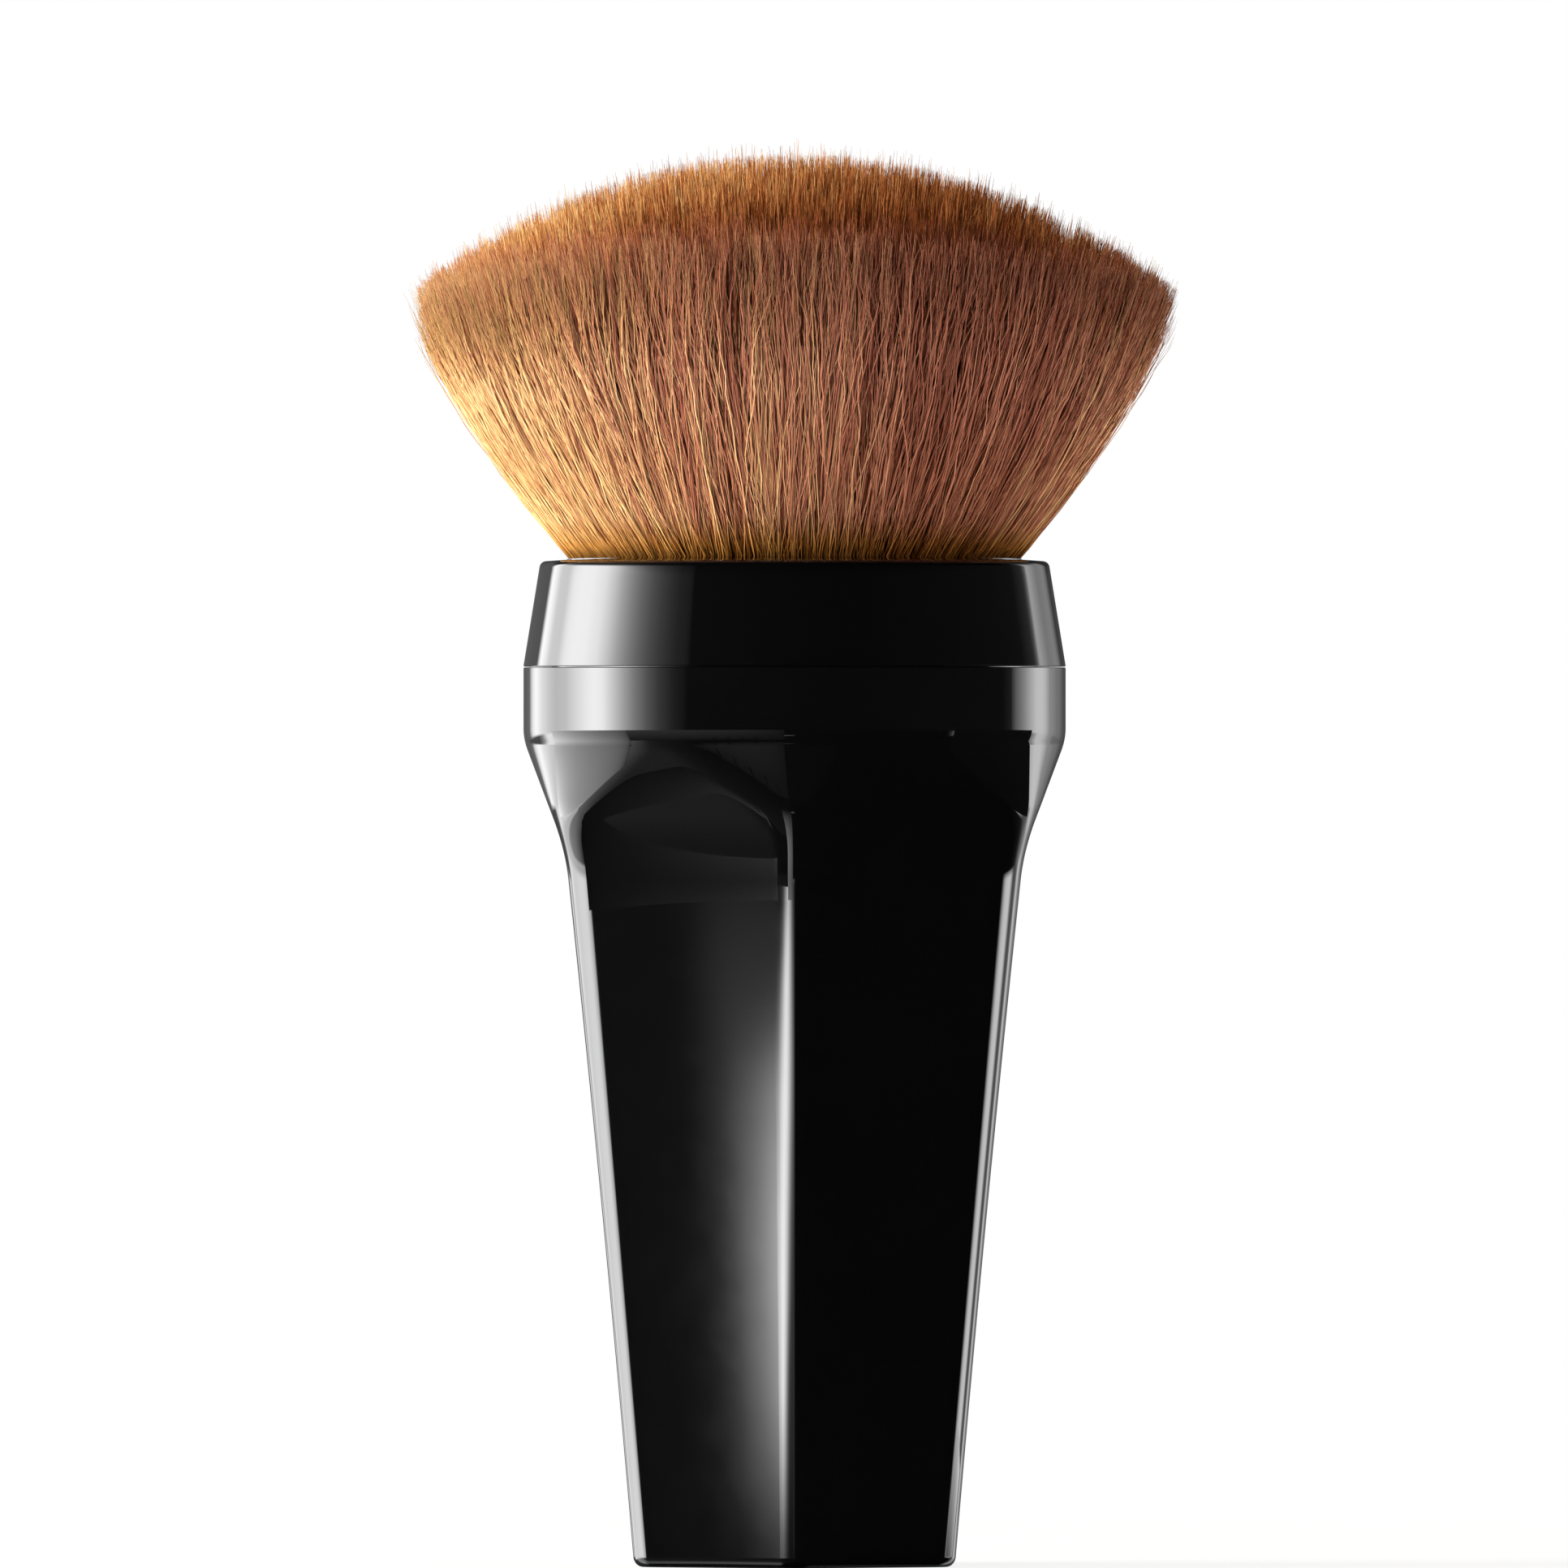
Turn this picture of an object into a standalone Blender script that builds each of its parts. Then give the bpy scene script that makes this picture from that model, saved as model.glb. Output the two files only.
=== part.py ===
"""A blush brush: a gloss black handle with six facets, a round collar and a flared oval head.

Units are metres and +Z is up. The brush stands on its base, with its axis on Z and the origin in
the middle of the base. One ridge of the handle faces the front, which is -Y, and the head is
widest along X. Sizes of the handle and the collar are chosen so that the collar fits round the
oval ferrule that holds the bristles, and the handle's ridges run out into the collar's band.
"""

import math

import bmesh
import bpy
from mathutils import Vector

# Fits
CLEARANCE = 0.0003  # between pieces that seat on each other
PARTING_GAP = 0.00015  # open line between the handle and the collar
CUT_OVERRUN = 0.001  # how far a cutter or a joined root passes the face that it crosses

# Ferrule, the oval cup that the bristles are set in
FERRULE_HALF_WIDTH = 0.0156  # inside, along X
FERRULE_HALF_DEPTH = 0.0125  # inside, along Y
FERRULE_WALL = 0.0005
FERRULE_HEIGHT = 0.0132
FERRULE_LIP_RISE = 0.0002  # lip above the edge of the collar's rim

# Collar, the conical ring round the ferrule
COLLAR_HEIGHT = 0.00745  # parting line to rim
RIM_LAND = 0.0016  # rim beside the long ends of the ferrule
RIM_EDGE_RADIUS = 0.0005
RIM_SLOPE = math.radians(4.0)  # fall of the rim's top face towards its edge
SPIGOT_LENGTH = 0.0033  # plain sleeve that sits inside the handle
SPIGOT_WALL = 0.0008
PARTING_CHAMFER = 0.00015  # broken edge on both sides of the parting line

# Handle
TAPER_HEIGHT = 0.0585  # base to the foot of the band
BAND_HEIGHT = 0.00515
BAND_WALL = 0.0017  # round the collar's spigot
BASE_HALF_FLATS = 0.01134
FACET_BOW = 0.0002  # how far a facet's outline sinks halfway up
BASE_CORNER_RADIUS = 0.00165
TOP_CORNER_RADIUS = 0.0023
SHOULDER_SLOPE = math.radians(21.0)  # from the axis
SHOULDER_BLEND = 0.0006
BAND_BLEND = 0.0003
BASE_EDGE_RADIUS = 0.0007
HANDLE_WALL = 0.0022
HANDLE_FLOOR = 0.0025
INNER_CORNER_RADIUS = 0.001
SEAT_LEDGE = 0.0009  # ledge that carries the spacer's flange

# Weight, its pad and the spacer between the pad and the ferrule
WEIGHT_LENGTH = 0.020
WEIGHT_CHAMFER = 0.0006
PAD_THICKNESS = 0.002
SPACER_WALL = 0.0016
FLANGE_THICKNESS = 0.0015

# Roots of the bristles inside the ferrule
RESIN_HEIGHT = 0.0036
BINDING_HEIGHT = 0.0027
BINDING_THICKNESS = 0.0008

# Head of bristles
HEAD_HEIGHT = 0.0289  # rim to the crown of the head
HEAD_HALF_WIDTH = 0.0266
HEAD_HALF_DEPTH = 0.0220
HEAD_CORNER_DROP = 0.0093  # crown to the long ends of its edge
FLARE_SHARES = (0.73, 0.49)  # outward and upward share of a strand's bend
STRAND_RINGS = 10  # rings of strands round the middle one, each with six more than the last
STRAND_BENDS = 3  # straight runs in a strand
STRAND_FILL_SHARE = 0.4  # strand radius as a share of the spacing round it
STRAND_TIP_SHARE = 0.12  # the same at its tip
STRAND_SIDES = 3
RING_TWIST = math.radians(137.5)  # turn of each ring of strands from the next one out

# Facets round the handle, and how finely each shape is divided
SIDES = 6
HALF_FACET = math.pi / SIDES
FACET_POINT_SHARES = (0.0, 0.27, 0.5, 0.68, 0.8, 0.88, 0.94, 1.0)  # facet middle to its corner
TURNED_STEPS = 72
OVAL_STEPS = 60
EDGE_STEPS = 3
TAPER_ROWS = 4
SHOULDER_ROWS = 12
CAVITY_ROWS = 3
SMOOTH_ANGLE = math.radians(30.0)

# Heights above the base
BAND_TOP = TAPER_HEIGHT + BAND_HEIGHT
RIM = BAND_TOP + COLLAR_HEIGHT
CROWN = RIM + HEAD_HEIGHT
FERRULE_LIP = RIM + FERRULE_LIP_RISE
FERRULE_FOOT = FERRULE_LIP - FERRULE_HEIGHT
FLANGE_FOOT = FERRULE_FOOT - CLEARANCE - FLANGE_THICKNESS
SEAT = FLANGE_FOOT - CLEARANCE
WEIGHT_FOOT = HANDLE_FLOOR + CLEARANCE
PAD_FOOT = WEIGHT_FOOT + WEIGHT_LENGTH + CLEARANCE
SPACER_FOOT = PAD_FOOT + PAD_THICKNESS + CLEARANCE
RESIN_FOOT = FERRULE_FOOT + FERRULE_WALL + CLEARANCE
ROOT_FOOT = RESIN_FOOT + RESIN_HEIGHT + CLEARANCE
BUNDLE_FOOT = ROOT_FOOT + BINDING_HEIGHT + CLEARANCE
SPIGOT_FOOT = BAND_TOP - SPIGOT_LENGTH

# Radii round the axis, from the ferrule outwards
OPENING_HALF_WIDTH = FERRULE_HALF_WIDTH + FERRULE_WALL + CLEARANCE
OPENING_HALF_DEPTH = FERRULE_HALF_DEPTH + FERRULE_WALL + CLEARANCE
RIM_RADIUS = OPENING_HALF_WIDTH + RIM_LAND
SPIGOT_RADIUS = OPENING_HALF_WIDTH + SPIGOT_WALL
SOCKET_RADIUS = SPIGOT_RADIUS + CLEARANCE
BAND_RADIUS = SOCKET_RADIUS + BAND_WALL
POCKET_RADIUS = OPENING_HALF_WIDTH
LEDGE_RADIUS = POCKET_RADIUS - SEAT_LEDGE
TOP_HALF_FLATS = (BAND_RADIUS - TOP_CORNER_RADIUS) * math.cos(HALF_FACET) + TOP_CORNER_RADIUS
BUNDLE_HALF_WIDTH = FERRULE_HALF_WIDTH - CLEARANCE
BUNDLE_HALF_DEPTH = FERRULE_HALF_DEPTH - CLEARANCE


def clear_scene():
    for leftover in list(bpy.data.objects):
        bpy.data.objects.remove(leftover)


def collection(name):
    made = bpy.data.collections.new(name)
    bpy.context.scene.collection.children.link(made)
    return made


def material(name, colour, roughness, metallic=0.0, coat=0.0):
    made = bpy.data.materials.new(name)
    made.use_nodes = True
    shader = made.node_tree.nodes["Principled BSDF"]
    shader.inputs["Base Color"].default_value = (*colour, 1.0)
    shader.inputs["Roughness"].default_value = roughness
    shader.inputs["Metallic"].default_value = metallic
    shader.inputs["Coat Weight"].default_value = coat
    return made


def add_object(name, data, home):
    made = bpy.data.objects.new(name, data)
    home.objects.link(made)
    return made


def mesh_from(name, bm):
    mesh = bpy.data.meshes.new(name)
    bm.to_mesh(mesh)
    bm.free()
    mesh.shade_smooth()
    mesh.set_sharp_from_angle(angle=SMOOTH_ANGLE)
    return mesh


def oval_prism(name, half_width, half_depth, height, home):
    """An upright oval block that stands on its own origin."""
    bm = bmesh.new()
    bmesh.ops.create_cone(bm, cap_ends=True, segments=OVAL_STEPS, radius1=1, radius2=1, depth=1)
    bmesh.ops.scale(bm, vec=(half_width, half_depth, height), verts=bm.verts)
    bmesh.ops.translate(bm, vec=(0, 0, height / 2), verts=bm.verts)
    return add_object(name, mesh_from(name, bm), home)


def turned(name, profile, home):
    """A turned shape from (radius, height) points that run down its outer side.

    A profile that starts and ends on the axis makes a solid shape, and any other is closed into
    a ring.
    """
    bm = bmesh.new()
    verts = [bm.verts.new((radius, 0, height)) for radius, height in profile]
    for upper, lower in zip(verts, verts[1:]):
        bm.edges.new((upper, lower))
    if profile[0][0] > 0:
        bm.edges.new((verts[-1], verts[0]))
    made = add_object(name, mesh_from(name, bm), home)
    screw = made.modifiers.new("turned", "SCREW")
    screw.steps = TURNED_STEPS
    screw.render_steps = TURNED_STEPS
    screw.use_merge_vertices = True
    screw.merge_threshold = 0.00001
    screw.use_smooth_shade = True
    return made


def lofted(name, rings, home):
    """A closed skin through rings of points, capped at the first and the last."""
    bm = bmesh.new()
    rows = [[bm.verts.new(point) for point in ring] for ring in rings]
    for row, after in zip(rows, rows[1:]):
        for i in range(len(row)):
            bm.faces.new((row[i - 1], row[i], after[i], after[i - 1]))
    bm.faces.new(reversed(rows[0]))
    bm.faces.new(rows[-1])
    return add_object(name, mesh_from(name, bm), home)


def combine(target, tool, operation):
    """Cuts the tool from the target, or joins it to the target, and hides the tool."""
    boolean = target.modifiers.new(operation.lower(), "BOOLEAN")
    boolean.operation = operation
    boolean.object = tool
    tool.hide_render = True
    tool.display_type = "WIRE"


def mix(start, end, share):
    return start + (end - start) * share


def smooth_max(first, second, blend):
    """The larger length, rounded over where the two come within the blend of each other."""
    near = max(blend - abs(first - second), 0.0) / blend
    return max(first, second) + near * near * blend / 4


def smooth_min(first, second, blend):
    return -smooth_max(-first, -second, blend)


def half_flats(height):
    """Half the handle across its flats. The facets widen upwards and bow in a little."""
    share = height / TAPER_HEIGHT
    return mix(BASE_HALF_FLATS, TOP_HALF_FLATS, share) - 4 * FACET_BOW * share * (1 - share)


def hexagon_reach(turn, flats, corner):
    """Distance from the axis to a hexagon with round corners, at a turn from a facet's middle."""
    turn = abs((turn + HALF_FACET) % (2 * HALF_FACET) - HALF_FACET)
    if flats * math.tan(turn) <= (flats - corner) * math.tan(HALF_FACET):
        return flats / math.cos(turn)
    centre = (flats - corner) / math.cos(HALF_FACET)
    off_corner = HALF_FACET - turn
    across = centre * math.sin(off_corner)
    return centre * math.cos(off_corner) + math.sqrt(max(corner * corner - across * across, 0.0))


def handle_reach(turn, height):
    """Distance from the axis to the handle's skin.

    Above the facets a cone swells out to the round band, so each facet ends in an arch.
    """
    corner = mix(BASE_CORNER_RADIUS, TOP_CORNER_RADIUS, height / TAPER_HEIGHT)
    hexagon = hexagon_reach(turn, half_flats(height), corner)
    shoulder = BAND_RADIUS - (TAPER_HEIGHT - height) * math.tan(SHOULDER_SLOPE)
    swelling = smooth_max(hexagon, shoulder, SHOULDER_BLEND)
    return smooth_min(swelling, BAND_RADIUS, BAND_BLEND)


def cavity_reach(turn, height):
    """Distance from the axis to the wall of the handle's hollow, below the ledge."""
    hexagon = hexagon_reach(turn, half_flats(height) - HANDLE_WALL, INNER_CORNER_RADIUS)
    return min(hexagon, LEDGE_RADIUS)


def section_turns():
    """Turns round the axis, closest together at the six corners."""
    half = FACET_POINT_SHARES
    shares = [-share for share in reversed(half[1:-1])] + list(half)
    return [(2 * side + share) * HALF_FACET for side in range(SIDES) for share in shares]


def ring(height, reach):
    """Points round the axis at one height, with reach giving the radius for each turn."""
    return [
        Vector((reach(turn) * math.cos(turn), reach(turn) * math.sin(turn), height))
        for turn in section_turns()
    ]


def steps(start, end, count):
    """Evenly spaced heights from start to end, both included."""
    return [mix(start, end, i / count) for i in range(count + 1)]


def handle_outside():
    """Rings up the handle's skin: rounded base edge, facets, shoulder and band."""
    rings = []
    for i in range(EDGE_STEPS):
        angle = math.pi / 2 * i / EDGE_STEPS
        height = BASE_EDGE_RADIUS * (1 - math.cos(angle))
        inset = BASE_EDGE_RADIUS * (1 - math.sin(angle))
        rings.append(ring(height, lambda turn: handle_reach(turn, height) - inset))
    widening = math.tan(SHOULDER_SLOPE) - (TOP_HALF_FLATS - BASE_HALF_FLATS) / TAPER_HEIGHT
    shoulder_height = (BAND_RADIUS - TOP_HALF_FLATS + SHOULDER_BLEND) / widening
    shoulder_foot = TAPER_HEIGHT - shoulder_height
    shoulder_top = TAPER_HEIGHT + BAND_BLEND / math.tan(SHOULDER_SLOPE)
    chamfer_foot = BAND_TOP - PARTING_GAP - PARTING_CHAMFER
    heights = steps(BASE_EDGE_RADIUS, shoulder_foot, TAPER_ROWS)[:-1]
    heights += steps(shoulder_foot, shoulder_top, SHOULDER_ROWS) + [chamfer_foot]
    for height in heights:
        rings.append(ring(height, lambda turn: handle_reach(turn, height)))
    rings.append(ring(BAND_TOP - PARTING_GAP, lambda turn: BAND_RADIUS - PARTING_CHAMFER))
    return rings


def handle_inside():
    """Rings down the handle's hollow: spigot socket, ferrule pocket, ledge and cavity."""
    socket_foot = SPIGOT_FOOT - CLEARANCE
    rings = [
        ring(BAND_TOP - PARTING_GAP, lambda turn: SOCKET_RADIUS),
        ring(socket_foot, lambda turn: SOCKET_RADIUS),
        ring(socket_foot, lambda turn: POCKET_RADIUS),
        ring(SEAT, lambda turn: POCKET_RADIUS),
    ]
    for height in steps(SEAT, HANDLE_FLOOR, CAVITY_ROWS):
        rings.append(ring(height, lambda turn: cavity_reach(turn, height)))
    return rings


def rounded(before, corner, after, radius):
    """Points of an arc of this radius in place of a profile's corner."""
    before, corner, after = Vector(before), Vector(corner), Vector(after)
    back = (before - corner).normalized()
    onward = (after - corner).normalized()
    half_angle = back.angle(onward) / 2
    centre = corner + (back + onward).normalized() * radius / math.sin(half_angle)
    start = corner + back * radius / math.tan(half_angle) - centre
    end = corner + onward * radius / math.tan(half_angle) - centre
    arc = [start.slerp(end, i / EDGE_STEPS) for i in range(EDGE_STEPS + 1)]
    return [tuple(centre + direction * radius) for direction in arc]


def handle_shell(home):
    return lofted("handle_shell", handle_outside() + handle_inside(), home)


def collar_ring(home, cutters):
    """The conical ring above the parting line, with the oval hole that the ferrule stands in."""
    middle = (0, RIM + RIM_RADIUS * math.tan(RIM_SLOPE))
    rim = (RIM_RADIUS, RIM)
    foot = (BAND_RADIUS, BAND_TOP + PARTING_CHAMFER)
    profile = [middle, *rounded(middle, rim, foot, RIM_EDGE_RADIUS), foot]
    profile += [
        (BAND_RADIUS - PARTING_CHAMFER, BAND_TOP),
        (SPIGOT_RADIUS, BAND_TOP),
        (SPIGOT_RADIUS, SPIGOT_FOOT),
        (0, SPIGOT_FOOT),
    ]
    made = turned("collar_ring", profile, home)
    height = middle[1] - SPIGOT_FOOT + 2 * CUT_OVERRUN
    hole = oval_prism("collar_hole", OPENING_HALF_WIDTH, OPENING_HALF_DEPTH, height, cutters)
    hole.location.z = SPIGOT_FOOT - CUT_OVERRUN
    combine(made, hole, "DIFFERENCE")
    return made


def ferrule_cup(home, cutters):
    outside = (FERRULE_HALF_WIDTH + FERRULE_WALL, FERRULE_HALF_DEPTH + FERRULE_WALL)
    made = oval_prism("ferrule_cup", *outside, FERRULE_HEIGHT, home)
    made.location.z = FERRULE_FOOT
    inside = (FERRULE_HALF_WIDTH, FERRULE_HALF_DEPTH)
    hollow = oval_prism("ferrule_hollow", *inside, FERRULE_HEIGHT, cutters)
    hollow.location.z = FERRULE_FOOT + FERRULE_WALL
    combine(made, hollow, "DIFFERENCE")
    return made


def resin_plug(home):
    made = oval_prism("resin_plug", BUNDLE_HALF_WIDTH, BUNDLE_HALF_DEPTH, RESIN_HEIGHT, home)
    made.location.z = RESIN_FOOT
    return made


def root_binding(home, cutters):
    """The band of thread that ties the roots together."""
    made = oval_prism("root_binding", BUNDLE_HALF_WIDTH, BUNDLE_HALF_DEPTH, BINDING_HEIGHT, home)
    made.location.z = ROOT_FOOT
    inside = (BUNDLE_HALF_WIDTH - BINDING_THICKNESS, BUNDLE_HALF_DEPTH - BINDING_THICKNESS)
    hollow = oval_prism("binding_hollow", *inside, BINDING_HEIGHT + 2 * CUT_OVERRUN, cutters)
    hollow.location.z = ROOT_FOOT - CUT_OVERRUN
    combine(made, hollow, "DIFFERENCE")
    return made


def head_top(across, along):
    """Height of the head's crown surface, which is part of a sphere."""
    radius = (HEAD_HALF_WIDTH**2 + HEAD_CORNER_DROP**2) / (2 * HEAD_CORNER_DROP)
    return CROWN - radius + math.sqrt(radius**2 - across**2 - along**2)


def strand_run(share, turn):
    """Points and radii of a strand that leaves the roots at this share of the way out."""
    spacing = BUNDLE_HALF_DEPTH / (STRAND_RINGS + 1)
    inset = STRAND_FILL_SHARE * spacing + CLEARANCE
    root_across = (BUNDLE_HALF_WIDTH - inset) * share * math.cos(turn)
    root_along = (BUNDLE_HALF_DEPTH - inset) * share * math.sin(turn)
    across = HEAD_HALF_WIDTH * share * math.cos(turn)
    along = HEAD_HALF_DEPTH * share * math.sin(turn)
    root = Vector((root_across, root_along, FERRULE_LIP))
    tip = Vector((across, along, head_top(across, along)))
    outward, upward = FLARE_SHARES
    bend = Vector(
        (
            mix(root.x, tip.x, outward),
            mix(root.y, tip.y, outward),
            mix(root.z, tip.z, upward),
        )
    )
    run = []
    for i in range(STRAND_BENDS + 1):
        t = i / STRAND_BENDS
        point = root * (1 - t) ** 2 + bend * 2 * t * (1 - t) + tip * t**2
        spread = mix(1.0, HEAD_HALF_DEPTH / BUNDLE_HALF_DEPTH, mix(0.0, outward, t))
        fill = STRAND_TIP_SHARE if i == STRAND_BENDS else STRAND_FILL_SHARE
        run.append((point, spacing * spread * fill))
    sunk = root + (root - run[1][0]).normalized() * CUT_OVERRUN / 2
    return [(sunk, run[0][1]), *run[1:]]


def strand_section(cutters):
    """The outline that each strand's curve is swept with, of unit size."""
    curve = bpy.data.curves.new("strand_section", "CURVE")
    spline = curve.splines.new("POLY")
    spline.points.add(STRAND_SIDES - 1)
    spline.use_cyclic_u = True
    for i, point in enumerate(spline.points):
        turn = 2 * math.pi * i / STRAND_SIDES
        point.co = (math.cos(turn), math.sin(turn), 0, 1)
    made = add_object("strand_section", curve, cutters)
    made.hide_render = True
    return made


def strands(cutters):
    """Every strand of the head as one mesh of separate closed bodies."""
    curve = bpy.data.curves.new("strands", "CURVE")
    curve.dimensions = "3D"
    curve.bevel_mode = "OBJECT"
    curve.bevel_object = strand_section(cutters)
    curve.use_fill_caps = True
    for ring_number in range(STRAND_RINGS + 1):
        count = max(SIDES * ring_number, 1)
        first_turn = (STRAND_RINGS - ring_number) * RING_TWIST
        for i in range(count):
            turn = first_turn + 2 * math.pi * i / count
            run = strand_run(ring_number / STRAND_RINGS, turn)
            spline = curve.splines.new("POLY")
            spline.points.add(len(run) - 1)
            for point, (place, radius) in zip(spline.points, run):
                point.co = (*place, 1)
                point.radius = radius
    swept = add_object("strand_curves", curve, cutters)
    graph = bpy.context.evaluated_depsgraph_get()
    mesh = bpy.data.meshes.new_from_object(swept.evaluated_get(graph))
    bpy.data.objects.remove(swept)
    bm = bmesh.new()
    bm.from_mesh(mesh)
    bmesh.ops.remove_doubles(bm, verts=bm.verts, dist=0.0000001)
    bmesh.ops.recalc_face_normals(bm, faces=bm.faces)
    return add_object("strands", mesh_from("strands", bm), cutters)


def bristle_tuft(home, cutters):
    """The bound roots as a block with a waist for the binding, and the strands that leave it."""
    height = FERRULE_LIP - BUNDLE_FOOT
    made = oval_prism("bristle_tuft", BUNDLE_HALF_WIDTH, BUNDLE_HALF_DEPTH, height, home)
    made.location.z = BUNDLE_FOOT
    waist = (
        BUNDLE_HALF_WIDTH - BINDING_THICKNESS - CLEARANCE,
        BUNDLE_HALF_DEPTH - BINDING_THICKNESS - CLEARANCE,
    )
    root = oval_prism("bristle_root", *waist, BUNDLE_FOOT - ROOT_FOOT + CUT_OVERRUN, cutters)
    root.location.z = ROOT_FOOT
    combine(made, root, "UNION")
    combine(made, strands(cutters), "UNION")
    return made


def weight_radius():
    return half_flats(HANDLE_FLOOR) - HANDLE_WALL - CLEARANCE


def balance_weight(home):
    """The slug that makes the handle heavy, chamfered at both ends."""
    radius = weight_radius()
    profile = [
        (0, WEIGHT_LENGTH),
        (radius - WEIGHT_CHAMFER, WEIGHT_LENGTH),
        (radius, WEIGHT_LENGTH - WEIGHT_CHAMFER),
        (radius, WEIGHT_CHAMFER),
        (radius - WEIGHT_CHAMFER, 0),
        (0, 0),
    ]
    made = turned("balance_weight", profile, home)
    made.location.z = WEIGHT_FOOT
    return made


def weight_pad(home):
    radius = half_flats(PAD_FOOT) - HANDLE_WALL - CLEARANCE
    made = oval_prism("weight_pad", radius, radius, PAD_THICKNESS, home)
    made.location.z = PAD_FOOT
    return made


def inner_spacer(home):
    """The tube that holds the pad down, with the flange that the ferrule stands on."""
    outside = weight_radius()
    inside = outside - SPACER_WALL
    flange = POCKET_RADIUS - CLEARANCE
    length = FLANGE_FOOT + FLANGE_THICKNESS - SPACER_FOOT
    profile = [
        (inside, length),
        (flange, length),
        (flange, length - FLANGE_THICKNESS),
        (outside, length - FLANGE_THICKNESS),
        (outside, 0),
        (inside, 0),
    ]
    made = turned("inner_spacer", profile, home)
    made.location.z = SPACER_FOOT
    return made


def main():
    clear_scene()
    home = collection("blush_brush")
    cutters = collection("cutters")
    gloss_black = material("gloss_black", (0.006, 0.006, 0.007), 0.08, coat=0.6)
    finishes = {
        handle_shell(home): gloss_black,
        collar_ring(home, cutters): gloss_black.copy(),
        ferrule_cup(home, cutters): material("ferrule_metal", (0.08, 0.08, 0.085), 0.3, 1.0),
        resin_plug(home): material("amber_resin", (0.45, 0.25, 0.06), 0.2),
        root_binding(home, cutters): material("waxed_thread", (0.75, 0.68, 0.55), 0.7),
        bristle_tuft(home, cutters): material("bristle_brown", (0.34, 0.16, 0.075), 0.5),
        inner_spacer(home): material("spacer_plastic", (0.12, 0.12, 0.125), 0.5),
        weight_pad(home): material("pad_foam", (0.2, 0.2, 0.2), 0.9),
        balance_weight(home): material("weight_steel", (0.55, 0.55, 0.56), 0.35, 1.0),
    }
    stand = add_object("brush_stand", None, home)
    for piece, finish in finishes.items():
        piece.data.materials.append(finish)
        piece.parent = stand


main()
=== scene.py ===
"""Studio scene of a blush brush, dressed round its CAD frame.

The brush stands on its flat base: a gloss black handle with six facets and a round band, a black
collar, a metal ferrule and a flared oval head of bristles. Each sub-assembly is a class that builds
its own meshes, and each finish is a frozen dataclass that builds its own material. Sizes are in
metres, in the frame of the CAD model, with +Z up and the front of the brush facing -Y.
"""

import logging
import math
from collections.abc import Callable, Iterable
from dataclasses import dataclass, fields
from enum import Enum

import bpy
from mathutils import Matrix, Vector


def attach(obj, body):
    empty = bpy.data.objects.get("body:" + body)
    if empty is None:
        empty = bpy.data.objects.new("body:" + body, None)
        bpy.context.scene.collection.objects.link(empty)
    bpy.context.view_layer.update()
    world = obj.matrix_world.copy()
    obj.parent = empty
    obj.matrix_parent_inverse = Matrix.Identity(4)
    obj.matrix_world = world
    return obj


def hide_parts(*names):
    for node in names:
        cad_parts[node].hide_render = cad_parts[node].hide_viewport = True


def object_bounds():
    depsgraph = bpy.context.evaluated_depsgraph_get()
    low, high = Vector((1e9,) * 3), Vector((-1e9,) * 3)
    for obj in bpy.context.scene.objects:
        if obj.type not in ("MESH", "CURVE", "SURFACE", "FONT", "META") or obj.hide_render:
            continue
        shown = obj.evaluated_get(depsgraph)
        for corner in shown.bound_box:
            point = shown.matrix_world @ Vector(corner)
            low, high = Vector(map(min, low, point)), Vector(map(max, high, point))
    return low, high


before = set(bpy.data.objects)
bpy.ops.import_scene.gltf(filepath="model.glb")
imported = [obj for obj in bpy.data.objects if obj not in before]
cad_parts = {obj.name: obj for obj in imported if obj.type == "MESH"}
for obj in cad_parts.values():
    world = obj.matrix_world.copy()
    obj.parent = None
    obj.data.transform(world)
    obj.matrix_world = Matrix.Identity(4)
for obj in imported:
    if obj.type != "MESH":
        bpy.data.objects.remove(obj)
cad_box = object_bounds()

BODY = "root"
STRAND_MAP = "OFBake"  # the strands' own UV map: tone across, root to tip upwards
MM = 0.001
SMOOTH_ANGLE = math.radians(32.0)
WELD = 0.001 * MM

log = logging.getLogger("blush_brush")


# Node graphs


def live_socket(sockets: bpy.types.bpy_prop_collection, key: str | int) -> bpy.types.NodeSocket:
    """The socket of a name, or of a number, among those that its node uses with its settings."""
    used = [socket for socket in sockets if socket.enabled]
    return used[key] if isinstance(key, int) else next(socket for socket in used if socket.name == key)


def operator(operation: str, swapped: bool = False) -> Callable[["Term", "Value"], "Term"]:
    """Makes the method of Term that stands for one of Python's operators.

    Args:
        operation: The Math node's operation.
        swapped: Whether the other value comes first.

    Returns:
        The method.
    """

    def method(term: "Term", other: "Value") -> "Term":
        """Adds the node that works the two values out."""
        return term.graph.maths(operation, *((other, term) if swapped else (term, other)))

    return method


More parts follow.
